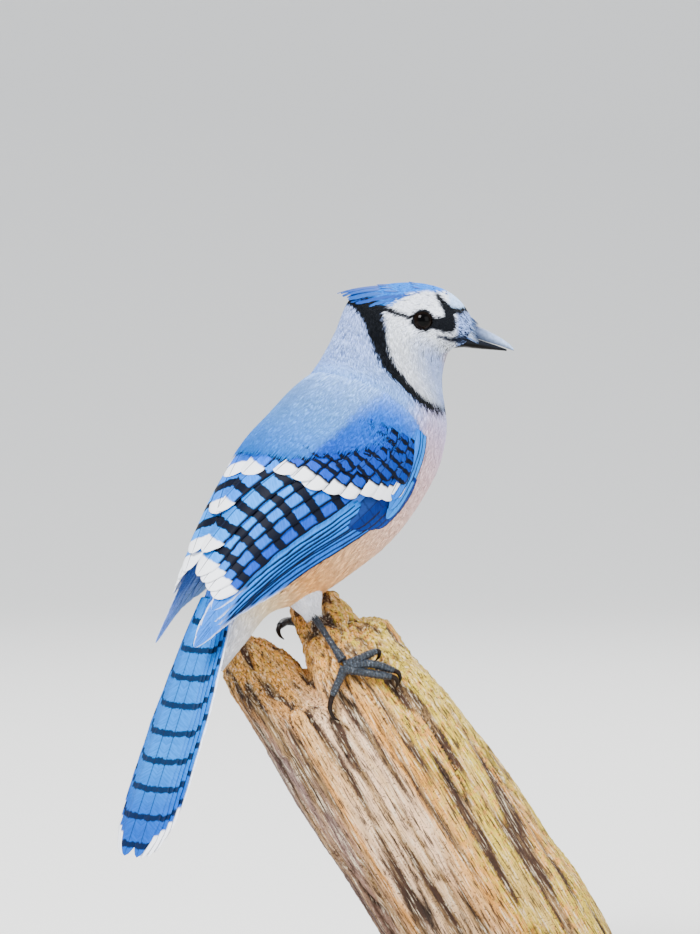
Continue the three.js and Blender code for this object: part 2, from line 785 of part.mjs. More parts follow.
const jay = new THREE.Group();
jay.position.y = MIDLINE_Y;
jay.add(
  node("head", head, FACE),
  node("bill_upper", billUpper, HORN),
  node("bill_lower", lowerBill.subtract(grownBody), HORN),
  node("eye_right", ball(EYE_RADIUS, eyes[0].centre), EYE),
  node("eye_left", ball(EYE_RADIUS, eyes[1].centre), EYE),
  node("neck", ahead(behind(body, HEAD_PLANE), NECK_PLANE), MANTLE),
  node("torso", ahead(behind(body, NECK_PLANE), TAIL_PLANE), MANTLE),
  node("tail", tail(body, TAIL_PLANE), BLUE),
  node("wing_left", leftWingSolid, BLUE),
  node("wing_right", rightWingSolid, BLUE),
  node("thigh_right", rightThigh.subtract(grownBody), THIGH),
  node("thigh_left", leftThigh.subtract(grownBody), THIGH),
  node("tarsus_right", bareTarsus(RIGHT_LEG, RIGHT_TOES), SCALE),
  node("tarsus_left", bareTarsus(LEFT_LEG, LEFT_TOES), SCALE),
  node("foot_right", rightFoot, SCALE),
  node("foot_left", leftFoot, SCALE),
  node("perch", perch, WOOD),
  node("stand_base", plinth(), WALNUT),
  node("stand_rod_front", rod(54, 0), STEEL),
  node("stand_rod_rear", rod(4, 0), STEEL),
);

export default jay;
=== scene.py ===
import math

import bpy
import numpy as np
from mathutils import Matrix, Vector, noise


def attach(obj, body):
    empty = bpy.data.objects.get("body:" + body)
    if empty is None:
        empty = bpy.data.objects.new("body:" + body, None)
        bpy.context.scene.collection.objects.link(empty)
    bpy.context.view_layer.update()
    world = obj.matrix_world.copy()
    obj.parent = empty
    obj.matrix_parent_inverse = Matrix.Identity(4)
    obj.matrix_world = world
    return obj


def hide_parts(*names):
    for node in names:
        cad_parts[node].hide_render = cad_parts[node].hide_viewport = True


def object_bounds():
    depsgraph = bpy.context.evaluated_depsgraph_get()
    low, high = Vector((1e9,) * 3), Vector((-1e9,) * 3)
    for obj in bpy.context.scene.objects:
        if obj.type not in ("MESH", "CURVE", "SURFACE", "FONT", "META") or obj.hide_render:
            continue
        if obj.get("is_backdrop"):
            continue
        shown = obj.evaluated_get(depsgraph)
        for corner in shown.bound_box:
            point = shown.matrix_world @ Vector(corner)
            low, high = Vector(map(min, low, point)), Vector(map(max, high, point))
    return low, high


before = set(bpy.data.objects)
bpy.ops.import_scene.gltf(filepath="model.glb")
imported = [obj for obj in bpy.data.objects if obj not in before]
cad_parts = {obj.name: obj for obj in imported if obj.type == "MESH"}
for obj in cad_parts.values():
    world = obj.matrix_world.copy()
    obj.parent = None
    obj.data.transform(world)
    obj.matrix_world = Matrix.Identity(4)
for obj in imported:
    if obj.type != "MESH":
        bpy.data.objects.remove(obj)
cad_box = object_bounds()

# A life-size blue jay on a weathered limb. Lengths are millimetres in the bird's own frame,
# with its plane of symmetry at y = 0, until a mesh is made.
MIDLINE_Y = 23.5
MM = 0.001
LIMB_TURN = -35.0
NECK_X = -0.6
EYE_RADIUS = 4.5
EYE_AT = (14.8, 273.6)
PLINTH_RADIUS, PLINTH_HEIGHT = 85.0, 12.0
ROD_RADIUS, LIMB_BOTTOM = 2.5, 24.0
PHOTO_SIZE = (700, 934)
PHOTO_PX = 0.4
rng = np.random.default_rng(41)


def hexed(code):
    """An sRGB hex colour as linear red, green and blue."""
    srgb = np.array([int(code[i:i + 2], 16) for i in (0, 2, 4)]) / 255
    return np.where(srgb <= 0.04045, srgb / 12.92, ((srgb + 0.055) / 1.055) ** 2.4)


def smooth(x, low, high):
    s = np.clip((np.asarray(x, float) - low) / (high - low), 0, 1)
    return s * s * (3 - 2 * s)


def unit(v):
    return v / np.maximum(np.linalg.norm(v, axis=-1, keepdims=True), 1e-9)


def between(rows, t):
    """A smooth run through rows of numbers at places t."""
    rows = np.asarray(rows, float)
    t = np.asarray(t, float)
    last = len(rows) - 1
    place = np.clip(t, 0, last - 1e-9)
    i = place.astype(int)
    x = (place - i)[..., None]
    b, c = rows[i], rows[i + 1]
    a = np.where((i > 0)[..., None], rows[i - 1], 2 * b - c)
    d = np.where((i < last - 1)[..., None], rows[np.minimum(i + 2, last)], 2 * c - b)
    cubic = -a + 3 * b - 3 * c + d
    return 0.5 * (2 * b + (c - a) * x + (2 * a - 5 * b + 4 * c - d) * x ** 2 + cubic * x ** 3)


def ramp(x, places, colours):
    """Colour along a run of named stops."""
    table = np.array([hexed(c) for c in colours])
    return np.stack([np.interp(x, places, table[:, k]) for k in range(3)], -1)


# Meshes
def to_row(points):
    return (np.asarray(points, float) + [0, MIDLINE_Y, 0]) * MM


def paint(mesh, label, values):
    """Keeps colours of three or four values on a mesh's points."""
    full = np.ones((len(values), 4), np.float32)
    full[:, :values.shape[1]] = values
    mesh.attributes.new(label, "FLOAT_COLOR", "POINT").data.foreach_set("color", full.ravel())


def build(name, points, faces, material, tint=None, marks=None, uv=None, uv_name="vane"):
    """A smooth mesh piece from points and arrays of faces with equally many corners."""
    mesh = bpy.data.meshes.new(name)
    groups = faces if isinstance(faces, list) else [faces]
    loops = np.concatenate([f.ravel() for f in groups]).astype(np.int32)
    sizes = np.concatenate([np.full(len(f), f.shape[1]) for f in groups])
    starts = np.concatenate([[0], np.cumsum(sizes)[:-1]]).astype(np.int32)
    mesh.vertices.add(len(points))
    mesh.vertices.foreach_set("co", to_row(points).astype(np.float32).ravel())
    mesh.loops.add(len(loops))
    mesh.loops.foreach_set("vertex_index", loops)
    mesh.polygons.add(len(sizes))
    mesh.polygons.foreach_set("loop_start", starts)
    mesh.update(calc_edges=True)
    for label, values in (("tint", tint), ("marks", marks)):
        if values is not None:
            paint(mesh, label, values)
    if uv is not None:
        layer = mesh.uv_layers.new(name=uv_name)
        layer.data.foreach_set("uv", uv[loops].astype(np.float32).ravel())
    mesh.polygons.foreach_set("use_smooth", np.full(len(sizes), True))
    mesh.validate()
    mesh.materials.append(material)
    piece = bpy.data.objects.new(name, mesh)
    bpy.context.scene.collection.objects.link(piece)
    return piece


def grid_faces(rows, columns, closed):
    """Quads over a grid of points, closed round if asked."""
    across = columns if closed else columns - 1
    i, j = np.meshgrid(np.arange(rows - 1), np.arange(across), indexing="ij")
    a = i * columns + j
    b = i * columns + (j + 1) % columns
    return np.stack([a, b, b + columns, a + columns], -1).reshape(-1, 4)


def tube_mesh(rings):
    """Points and faces of a closed tube through rings of shape (n, sides, 3)."""
    n, sides = rings.shape[:2]
    points = np.concatenate([rings.reshape(-1, 3), [rings[0].mean(0)], [rings[-1].mean(0)]])
    quads = grid_faces(n, sides, True)
    j = np.arange(sides)
    k = (j + 1) % sides
    first = np.stack([np.full(sides, n * sides), k, j], -1)
    end = (n - 1) * sides
    last = np.stack([np.full(sides, n * sides + 1), end + j, end + k], -1)
    return points, quads, np.concatenate([first, last])


def select_only(piece):
    bpy.ops.object.select_all(action="DESELECT")
    bpy.context.view_layer.objects.active = piece
    piece.select_set(True)


def face_out(piece):
    """Turns a closed piece's faces outwards."""
    select_only(piece)
    bpy.ops.object.mode_set(mode="EDIT")
    bpy.ops.mesh.select_all(action="SELECT")
    bpy.ops.mesh.normals_make_consistent(inside=False)
    bpy.ops.object.mode_set(mode="OBJECT")
    piece.select_set(False)
    return piece


def with_ends(tint):
    """A tube's colours, with those of the middles of its two ends."""
    return np.concatenate([tint, tint[:1], tint[-1:]])


def tube_piece(name, parts, material, tint=None):
    """One piece from several closed tubes."""
    points, quads, tris, start = [], [], [], 0
    for rings in parts:
        p, q, t = tube_mesh(rings)
        points.append(p)
        quads.append(q + start)
        tris.append(t + start)
        start += len(p)
    faces = [np.concatenate(quads), np.concatenate(tris)]
    return face_out(build(name, np.concatenate(points), faces, material, tint))


# Materials. A feather's marks keep lengths as shares of 20 mm, and its map counts in steps of 100 mm.
MARK_MM, VANE_MM = 20.0, 100.0
EASED = {"interpolation_type": "SMOOTHSTEP"}
MIXED = {"data_type": "RGBA", "output": 2}


def feed(node, inputs):
    """Fills a node's inputs, by name or in order. Another node's socket is linked, and the rest is set."""
    for key, value in (inputs.items() if isinstance(inputs, dict) else enumerate(inputs)):
        if isinstance(value, bpy.types.NodeSocket):
            node.id_data.links.new(value, node.inputs[key])
        else:
            node.inputs[key].default_value = (*value, 1.0) if isinstance(value, np.ndarray) else value


def put(material, kind, inputs=(), output=0, **settings):
    """Adds a node with its settings and links, and gives one of its outputs."""
    node = material.node_tree.nodes.new("ShaderNode" + kind)
    for key, value in settings.items():
        setattr(node, key, value)
    feed(node, inputs)
    return node.outputs[output]


def layered(material, colour, layers):
    """Lays colours over the first, each up to its share where its pattern passes from low to high."""
    for pattern, low, high, most, shade in layers:
        share = put(material, "MapRange", (pattern, low, high, 0.0, most), **EASED)
        colour = put(material, "Mix", {0: share, 6: colour, 7: hexed(shade)}, **MIXED)
    return colour


def new_material(name):
    material = bpy.data.materials.new(name)
    material.use_nodes = True
    return material, material.node_tree.nodes["Principled BSDF"]


def down_material():
    """Down and contour feathers: keratin barbs so fine that they scatter softly, with no shine."""
    material, shader = new_material("contour_feather_down")
    place = put(material, "TexCoord", output="Object")
    tint = put(material, "Attribute", output="Color", attribute_name="tint")
    # barb clumps about 0.6 mm apart
    clumps = put(material, "TexNoise", {"Vector": place, "Scale": 1700.0, "Detail": 2.0})
    value = put(material, "MapRange", (clumps, 0.3, 0.7, 0.9, 1.06), **EASED)
    toned = put(material, "HueSaturation", {"Color": tint, "Value": value})
    feed(shader, {"Base Color": toned, "Roughness": 0.72, "Specular IOR Level": 0.12,
                  "Sheen Weight": 0.03, "Sheen Roughness": 0.5})
    return material


def vane_material():
    """Flight feather vane: flat keratin web whose barbs give a faint satin grain and structural blue."""
    material, shader = new_material("flight_feather_vane")
    place = put(material, "TexCoord", output="Object")
    tint = put(material, "Attribute", output="Color", attribute_name="tint")
    # the marks are the strength of the bars, the white tip's length, the bars' spacing and the dark edge
    marks = put(material, "Attribute", output="Color", attribute_name="marks")
    strength, white_share, spacing_share = put(material, "SeparateColor", {"Color": marks}).node.outputs
    dark_edge = marks.node.outputs["Alpha"]
    mapped = put(material, "UVMap", uv_map="vane")
    down, over = put(material, "SeparateXYZ", {"Vector": mapped}).node.outputs[:2]
    from_tip = put(material, "Math", (down, VANE_MM), operation="MULTIPLY")
    across = put(material, "Math", (over, 2.0, -1.0), operation="MULTIPLY_ADD")
    side = put(material, "Math", (across,), operation="ABSOLUTE")
    # uneven edges of the bars, about 2 mm apart
    wander = put(material, "TexNoise", {"Vector": place, "Scale": 420.0, "Detail": 2.0})
    shifted = put(material, "Math", (wander, 2.2, from_tip), operation="MULTIPLY_ADD")
    spacing = put(material, "Math", (spacing_share, MARK_MM), operation="MULTIPLY")
    spacing = put(material, "Math", (spacing, 0.5), operation="MAXIMUM")
    phase = put(material, "Math", (shifted, spacing), operation="DIVIDE")
    phase = put(material, "Math", (phase,), operation="FRACT")
    phase = put(material, "Math", (phase, 0.5), operation="SUBTRACT")
    ridge = put(material, "Math", (phase,), operation="ABSOLUTE")
    # the stronger the bars of a feather, the wider they are
    half_bar = put(material, "Math", (strength, 0.16, 0.04), operation="MULTIPLY_ADD")
    in_bar = put(material, "Math", (half_bar, ridge), operation="SUBTRACT")
    bar_dark = put(material, "Math", (strength, 2.0), operation="MULTIPLY", use_clamp=True)
    # barbs run out from the shaft, drawn about 0.8 mm apart so that they show
    barb_place = put(material, "Math", (side, 4.0, from_tip), operation="MULTIPLY_ADD")
    barb = put(material, "CombineXYZ", (barb_place, side))
    barbs = put(material, "TexNoise", {"Vector": barb, "Scale": 1.3, "Detail": 3.0})
    value = put(material, "MapRange", (barbs, 0.3, 0.7, 0.8, 1.16), **EASED)
    toned = put(material, "HueSaturation", {"Color": tint, "Value": value})
    rim_dark = put(material, "Math", (dark_edge, 3.0), operation="MULTIPLY", use_clamp=True)
    white = put(material, "Math", (white_share, MARK_MM), operation="MULTIPLY")
    tip_line = put(material, "Math", (wander, 1.6, from_tip), operation="MULTIPLY_ADD")
    in_tip = put(material, "Math", (white, tip_line), operation="SUBTRACT")
    # the inner web, the outer rim, the bars, the white tip and the shaft
    colour = layered(material, toned, (
        (across, 0.12, -0.25, dark_edge, "1f3f78"), (across, 0.76, 0.92, rim_dark, "060b1a"),
        (in_bar, -0.03, 0.03, bar_dark, "060b1a"), (in_tip, 0.2, 1.4, 1.0, "f4f6fb"),
        (side, 0.06, 0.02, 0.8, "131c30")))
    grain = put(material, "Bump", {"Height": barbs, "Distance": 0.00012, "Strength": 0.6})
    feed(shader, {"Base Color": colour, "Normal": grain, "Roughness": 0.55, "Specular IOR Level": 0.08})
    return material


def horn_material():
    """Bill: slate keratin sheath, worn smooth along its ridge and cutting edges."""
    material, shader = new_material("bill_horn")
    place = put(material, "TexCoord", output="Object")
    tint = put(material, "Attribute", output="Color", attribute_name="tint")
    # growth streaks about 1 mm apart
    streaks = put(material, "TexNoise", {"Vector": place, "Scale": 900.0, "Detail": 4.0})
    value = put(material, "MapRange", (streaks, 0.25, 0.75, 0.75, 1.2), **EASED)
    toned = put(material, "HueSaturation", {"Color": tint, "Value": value})
    wear_and_highlight = put(material, "MapRange", (streaks, 0.3, 0.7, 0.28, 0.45), **EASED)
    ridges = put(material, "Bump", {"Height": streaks, "Distance": 0.00008, "Strength": 1.0})
    feed(shader, {"Base Color": toned, "Roughness": wear_and_highlight, "Normal": ridges, "Specular IOR Level": 0.12})
    return material


def scale_material():
    """Leg scales: dry blue black scutes with dark joints between them and pale middles, which are painted
    highlights.
    """
    material, shader = new_material("leg_scutes")
    place = put(material, "TexCoord", output="Object")
    tint = put(material, "Attribute", output="Color", attribute_name="tint")
    # small round scales about 0.7 mm across
    cells = put(material, "TexVoronoi", {"Vector": place, "Scale": 1300.0}, feature="DISTANCE_TO_EDGE")
    domes = put(material, "MapRange", (cells, 0.02, 0.16), **EASED)
    # dark joints, then pale middles on the scales' domes: painted highlights
    colour = layered(material, tint, (
        (cells, 0.16, 0.02, 1.0, "0c1018"), (cells, 0.3, 0.5, 0.55, "b9c6da")))
    ridges = put(material, "Bump", {"Height": domes, "Distance": 0.0003, "Strength": 1.0})
    feed(shader, {"Base Color": colour, "Normal": ridges, "Roughness": 0.34, "Specular IOR Level": 0.5})
    return material


def eye_material():
    """Eye: wet clear cornea over a brown black iris and pupil, which the painted colour gives."""
    material, shader = new_material("wet_eye")
    tint = put(material, "Attribute", output="Color", attribute_name="tint")
    feed(shader, {"Base Color": tint, "Roughness": 0.04, "IOR": 1.34, "Specular IOR Level": 0.12})
    return material


def wood_material():
    """Weathered limb: bare wood, silvered and golden, with open grain and crusts of lichen."""
    material, shader = new_material("weathered_wood")
    place = put(material, "TexCoord", output="Object")
    tint = put(material, "Attribute", output="Color", attribute_name="tint")
    grain = put(material, "Attribute", output="Vector", attribute_name="grain")
    # fibres about 0.5 mm wide and 12 mm long, in the limb's own stretched measure of centimetres
    fibres = put(material, "TexNoise", {"Vector": grain, "Scale": 14.0, "Detail": 6.0, "Roughness": 0.65})
    bands = put(material, "TexNoise", {"Vector": grain, "Scale": 3.2, "Detail": 4.0})
    # pores and specks about 0.8 mm apart
    specks = put(material, "TexNoise", {"Vector": place, "Scale": 1200.0, "Detail": 3.0})
    colour = layered(material, tint, (
        (bands, 0.45, 0.65, 0.5, "cfa468"), (fibres, 0.53, 0.66, 0.66, "fbe9c8"),
        (fibres, 0.5, 0.36, 0.95, "2c1808"), (specks, 0.44, 0.3, 0.85, "2c1a0c")))
    heights = put(material, "Math", (specks, 0.5, fibres), operation="MULTIPLY_ADD")
    ridges = put(material, "Bump", {"Height": heights, "Distance": 0.0009, "Strength": 1.0})
    feed(shader, {"Base Color": colour, "Normal": ridges, "Roughness": 0.86})
    return material


def stained_material():
    """Base: turned beech, stained walnut and varnished satin, with fine lines of pores."""
    material, shader = new_material("stained_beech")
    place = put(material, "TexCoord", output="Object")
    stretched = put(material, "Mapping", {"Vector": place, "Scale": (60.0, 900.0, 900.0)})
    # grain lines about 1 mm apart that run 15 mm along the board
    lines = put(material, "TexNoise", {"Vector": stretched, "Scale": 1.0, "Detail": 5.0})
    colour = layered(material, hexed("3a2115"), ((lines, 0.3, 0.7, 1.0, "5d3a25"),))
    dull = put(material, "MapRange", (lines, 0.3, 0.7, 0.34, 0.48), **EASED)
    ridges = put(material, "Bump", {"Height": lines, "Distance": 0.00005, "Strength": 1.0})
    feed(shader, {"Base Color": colour, "Roughness": dull, "Normal": ridges})
    return material


def steel_material():
    """Rods: drawn stainless steel with faint lines left by the die."""
    material, shader = new_material("drawn_steel")
    place = put(material, "TexCoord", output="Object")
    stretched = put(material, "Mapping", {"Vector": place, "Scale": (5000.0, 5000.0, 60.0)})
    # die lines about 0.3 mm apart
    lines = put(material, "TexNoise", {"Vector": stretched, "Scale": 1.0})
    colour = put(material, "Mix", {0: lines, 6: hexed("a7a9ad"), 7: hexed("c9cbce")}, **MIXED)
    dull = put(material, "MapRange", (lines, 0.3, 0.7, 0.22, 0.38), **EASED)
    feed(shader, {"Base Color": colour, "Roughness": dull, "Metallic": 1.0})
    return material


def floor_material():
    """Floor: plain matt paper."""
    material, shader = new_material("matt_paper")
    feed(shader, {"Base Color": hexed("e9e8e4"), "Roughness": 0.95})
    return material


DOWN, VANE, HORN, SCUTE = down_material(), vane_material(), horn_material(), scale_material()
EYE, WOOD, STAINED, STEEL = eye_material(), wood_material(), stained_material(), steel_material()


# Surfaces that the feathers lie on
def trunk_ring(x, z, slope, half_depth, half_width):
    """A ring square to a body that climbs at a slope."""
    slope = math.radians(slope)
    back, up = -math.sin(slope) * half_depth, math.cos(slope) * half_depth
    return [x + back, z + up, x - back, z - up, half_width, 0]


# upper point, lower point, half width and turn of the body's rings, from the tail's root to the bill
BODY = [
    [-92.5, 140, -83, 136, 8, 0], [-87.5, 155, -72, 147, 11, 0], [-81, 171, -61, 158, 14.5, 0],
    trunk_ring(-57, 177, 48, 21.5, 20), trunk_ring(-44.5, 190.5, 50, 28.5, 25.5),
    trunk_ring(-31, 202.5, 52, 32, 28), trunk_ring(-20, 214.5, 55, 33, 29),
    trunk_ring(-9.5, 228.5, 58, 32.5, 29), trunk_ring(-3.5, 240.5, 63, 29.5, 27),
    [-25.2, 258, 22.4, 244, 24, -12], [-19.6, 268, 22.4, 250, 21.5, -24],
    [-16, 277.2, 23.2, 255.2, 19, -32], [-12.4, 282.8, 24.4, 259.2, 17.5, LIMB_TURN],
    [-4.4, 286.4, 25.6, 261.2, 16.5, LIMB_TURN], [6, 288, 26.4, 262, 15.5, LIMB_TURN],
    [16, 287.6, 27.6, 262.6, 14, LIMB_TURN], [24.8, 284.8, 29.2, 263, 11, LIMB_TURN],
    [31.2, 279.6, 31.2, 263.2, 8, LIMB_TURN], [35.6, 272.4, 33.2, 263.8, 5, LIMB_TURN]]
# the sheet that the left wing's feathers lie on, from the shoulder to the wing's tip
SHEET = [
    trunk_ring(-4, 243, 62, 27.5, 26.5), trunk_ring(-12.8, 229.2, 58, 32, 30.5),
    trunk_ring(-22.6, 215.2, 55, 33.5, 31.5), trunk_ring(-33.8, 203.7, 52, 33.5, 31),
    trunk_ring(-47.5, 191.6, 50, 30.5, 28.5), trunk_ring(-61.5, 178.6, 50, 25.5, 24.5),
    trunk_ring(-75.5, 164, 51, 20.5, 20.5), trunk_ring(-88, 150.5, 54, 15, 17.5),
    trunk_ring(-100, 137, 57, 10, 15.5)]


def body_parts(t, angle, grow=0.0):
    """Forward, height and side of a body point before its ring is turned, and the turn."""
    ux, uz, lx, lz, half, turn = np.moveaxis(between(BODY, t), -1, 0)
    height = np.hypot(ux - lx, uz - lz) / 2
    share = np.cos(np.radians(angle)) * (1 + grow / height)
    side = np.sin(np.radians(angle)) * (half + grow)
    straight = np.clip(1 - np.abs(turn) / 12, 0, 1)
    forward = (ux + lx) / 2 + (ux - lx) / 2 * share - NECK_X * straight
    return forward, (uz + lz) / 2 + (uz - lz) / 2 * share, side, np.radians(turn)


def body_surface(t, angle, grow=0.0):
    """A point on the body, or a height above it. The angle runs from the back, 0, down the left side."""
    forward, up, side, yaw = body_parts(t, angle, grow)
    return np.stack([NECK_X + forward * np.cos(yaw) - side * np.sin(yaw),
                     forward * np.sin(yaw) + side * np.cos(yaw), up], -1)


def head_point(forward, left, up):
    yaw = math.radians(LIMB_TURN)
    forward, left, up = np.broadcast_arrays(*[np.asarray(v, float) for v in (forward, left, up)])
    return np.stack([NECK_X + forward * math.cos(yaw) - left * math.sin(yaw),
                     forward * math.sin(yaw) + left * math.cos(yaw), up], -1)


def head_way(forward, left, up):
    """A step in the head's own directions."""
    return head_point(forward, left, up) - head_point(0, 0, 0)


def limb_point(across, depth, up):
    turn = math.radians(LIMB_TURN)
    across, depth, up = np.broadcast_arrays(*[np.asarray(v, float) for v in (across, depth, up)])
    return np.stack([across * math.cos(turn) - depth * math.sin(turn),
                     across * math.sin(turn) + depth * math.cos(turn) - MIDLINE_Y, up], -1)


def sheet_surface(t, angle, lift=0.0):
    """A point on the left wing's sheet, or a height above it."""
    ux, uz, lx, lz, half, _ = np.moveaxis(between(SHEET, t), -1, 0)
    share = np.cos(np.radians(angle))
    middle = np.stack([(ux + lx) / 2, 0 * ux, (uz + lz) / 2], -1)
    point = np.stack([(ux + lx) / 2 + (ux - lx) / 2 * share, half * np.sin(np.radians(angle)),
                      (uz + lz) / 2 + (uz - lz) / 2 * share], -1)
    return point + unit(point - middle) * np.asarray(lift)[..., None]


RIGHT_LEG = {"hip": (-52, -10, 178), "ankle": (-43, -15, 157.5), "foot": (-31, -24, 139.6)}
LEFT_LEG = {"hip": (-58, 8, 180), "ankle": (-53.5, 9, 163.5), "foot": (-48.8, 14.6, 154.6)}


def thigh_surface(leg):
    """A surface whose place runs from the ankle, 0, to the hip, 1."""
    top, bottom = limb_point(*leg["hip"]), limb_point(*leg["ankle"])
    along = unit(bottom - top)
    across = unit(np.cross(along, [0.31, 0.86, 0.4]))
    out = np.cross(across, along)

    def surface(t, angle, grow=0.0):
        t, angle = np.broadcast_arrays(np.asarray(t, float), np.asarray(angle, float))
        radius = np.interp(t, [0, 0.2, 0.4, 0.6, 0.8, 1], [2.6, 5.2, 6.8, 7.9, 8.8, 9.5]) + grow
        turn = np.radians(angle)
        place = bottom + (top - bottom) * t[..., None]
        ways = np.cos(turn)[..., None] * across + np.sin(turn)[..., None] * out
        return place + radius[..., None] * ways

    return surface


# Markings, in the side view of the head and neck: forward and up
def line_mask(forward, up, line, soft=0.5):
    """How far a point is inside a stroke through (forward, up, half width) rows."""
    best = np.full(np.shape(forward), -1e9)
    line = np.asarray(line, float)
    for a, b in zip(line[:-1], line[1:]):
        d = b[:2] - a[:2]
        s = np.clip(((forward - a[0]) * d[0] + (up - a[1]) * d[1]) / max(d @ d, 1e-9), 0, 1)
        gap = np.hypot(forward - a[0] - s * d[0], up - a[1] - s * d[1])
        best = np.maximum(best, a[2] + (b[2] - a[2]) * s - gap)
    return smooth(best, -soft, soft)


COLLAR = [(-13, 281.5, 2.6), (-5.4, 278, 5), (-4.2, 270, 4.3), (-5, 262, 3.4), (-6, 255.6, 3.4),
          (-4.4, 248.6, 3.2), (-1, 243, 2.7), (6.3, 239.2, 2.2), (14, 238.4, 1.9), (26, 241.5, 1.8)]
EYE_STRIPE = [(-6, 280, 1.8), (1.5, 277.9, 1.2), (7.9, 275.6, 0.9), (11, 274.6, 1.2)]
LORE = [(17.5, 273.2, 1.5), (20, 272.6, 2.5), (25.6, 271.8, 3.3)]
LORE_UP = [(26.4, 273.5, 2.3), (25.2, 278, 1.8), (21.2, 283.4, 0.8)]
LORE_FRONT = [(26.4, 277.2, 1.4), (32.8, 277, 1.0)]
GAPE = [(21.5, 267.6, 0.3), (26, 266, 0.9), (34, 266, 0.9)]
CROWN_EDGE = ([-20, 2.5, 6.6, 11.2, 16.3, 21.4, 24, 27, 31],
              [279.4, 279.4, 282.3, 284.3, 285, 284.4, 284.6, 284, 283])
COLLAR_FRONT = ([236, 243, 249, 256, 262, 270, 282], [12, 2, -2, -3, -2, 0, 0])
WHITE, BLACK = hexed("eef3ff"), hexed("03070f")
# the eye's opening is a little wider than it is high
EYE_OVAL = 1.14


def blend(a, b, mask):
    return a + (b - a) * np.asarray(mask)[..., None]


def from_eye(forward, up):
    return np.hypot(forward - EYE_AT[0], EYE_OVAL * (up - EYE_AT[1]))


def coat_colour(t, angle):
    """The colour of the skin and coat at places on the body."""
    t, angle = np.broadcast_arrays(np.asarray(t, float), np.asarray(angle, float))
    round_back = np.abs((angle + 180) % 360 - 180)
    forward, up, _, _ = body_parts(t, angle)
    back = ramp(t, [0, 1.6, 3, 5, 6.6, 7.8, 8.8, 10, 11.5],
                ["1f80f0", "3884f2", "5890f8", "60a2ff", "68a8ff", "82b4ff", "98bcff", "a8c2ff", "b0c6ff"])
    belly = ramp(t, [0, 1.2, 2.0, 3, 4, 5.4, 6.6, 7.6, 8.3, 9, 12],
                 ["fbfaff", "fbf6f4", "fae0b4", "fab468", "fcc896", "fad4c6", "f4d4da", "e2cfee", "cccdf8",
                  "e2e6fc", "eaeefd"])
    rump = smooth(t, 3, 1.5)
    colour = blend(back, belly, smooth(round_back, 74 - 26 * rump, 108 - 40 * rump))
    # white face, cheeks and throat, ahead of the collar
    face = smooth(t, 8.3, 8.6) * smooth(forward - np.interp(up, *COLLAR_FRONT), -1, 1)
    colour = blend(colour, WHITE, face)
    # the throat, on the head's underside, goes pale blue: painted cool shade
    throat = smooth(round_back, 90, 140) * smooth(t, 13.5, 11) * face
    colour = blend(colour, hexed("a6c0ff"), 0.85 * throat)
    chin = smooth(forward, 21, 26) * smooth(up, 262.5, 259.5) * smooth(up, 252, 256)
    colour = blend(colour, hexed("c08a5c"), 0.6 * chin)
    crown = smooth(up - np.interp(forward, *CROWN_EDGE), -0.5, 0.7) * smooth(t, 10.6, 11.4)
    colour = blend(colour, hexed("0080ea"), crown)
    brow = smooth(forward, 24.5, 27) * smooth(up, 276.5, 278)
    colour = blend(colour, hexed("a8cefa"), 0.85 * brow)
    nose = smooth(forward, 28, 30) * smooth(up, 277, 275.5)
    colour = blend(colour, hexed("6a96e4"), 0.8 * nose)
    black = line_mask(forward, up, COLLAR, 0.8) * smooth(t, 7.9, 8.05)
    for stroke in (EYE_STRIPE, LORE, LORE_UP, LORE_FRONT, GAPE):
        black = np.maximum(black, line_mask(forward, up, stroke, 0.45) * (t > 11))
    black = np.maximum(black, smooth(from_eye(forward, up), 5.6, 4.9) * (t > 11))
    return blend(colour, BLACK, black)


def dark_share(t, angle):
    """The share of dark flecks among the small feathers round the bill and under the cheek."""
    forward, up, _, _ = body_parts(t, angle)
    nose = smooth(forward, 27.5, 30) * smooth(up, 276.5, 275)
    gape = smooth(forward, 17, 24) * smooth(up, 270, 267) * smooth(up, 255, 260)
    cheek = smooth(forward, 4, 12) * smooth(up, 270, 266) * smooth(up, 250, 258)
    return (0.34 * nose + 0.22 * gape + 0.07 * cheek) * (t > 11)


# Strands of the coat
PATCH, MAP_MARGIN, MAP_SHARE = 0.003, 0.02, 0.95
STRAND_POINTS = 7
BODY_END = len(BODY) - 1


def root_map(along, across):
    """Roots' places on the coat's map, from shares of the skin's unwrap."""
    return np.stack([MAP_MARGIN + MAP_SHARE * along, MAP_MARGIN + MAP_SHARE * across], -1)


def strands(name, material, path, out, half, thick, tint, root_uv):
    """Tapered solid strands. path has shape (n, 3, 3), from each root to its tip."""
    n = len(path)
    way = unit(np.diff(path, axis=1))
    side = unit(np.cross(way, out[:, None, :]))
    half = np.asarray(half, float).reshape(-1, 1) * np.ones((n, 1))
    ring = []
    for k, share in ((0, 0.75), (1, 1.0)):
        c, w = path[:, k], side[:, k] * half * share
        ring += [c - w, c + w, c + out * thick]
    points = np.stack(ring + [path[:, 2]], 1)
    base = (np.arange(n) * STRAND_POINTS)[:, None, None]
    quads = np.array([[0, 1, 4, 3], [1, 2, 5, 4], [2, 0, 3, 5]])[None] + base
    tris = np.array([[3, 4, 6], [4, 5, 6], [5, 3, 6], [0, 2, 1]])[None] + base
    local = np.array([[0, 0], [1, 0], [0.5, 0], [0, 0.5], [1, 0.5], [0.5, 0.5], [0.5, 1]]) * PATCH
    uv = (root_uv[:, None, :] + local[None]).reshape(-1, 2)
    # a strand is darker at its root and paler at its tip
    tone = np.repeat(tint[:, None, :], STRAND_POINTS, 1)
    tone[:, -1] *= 1.06
    tone[:, :3] *= 0.9
    return build(name, points.reshape(-1, 3), [quads.reshape(-1, 4), tris.reshape(-1, 3)], material,
                 tint=np.clip(tone.reshape(-1, 3), 0, 1), uv=uv, uv_name="OFBake")


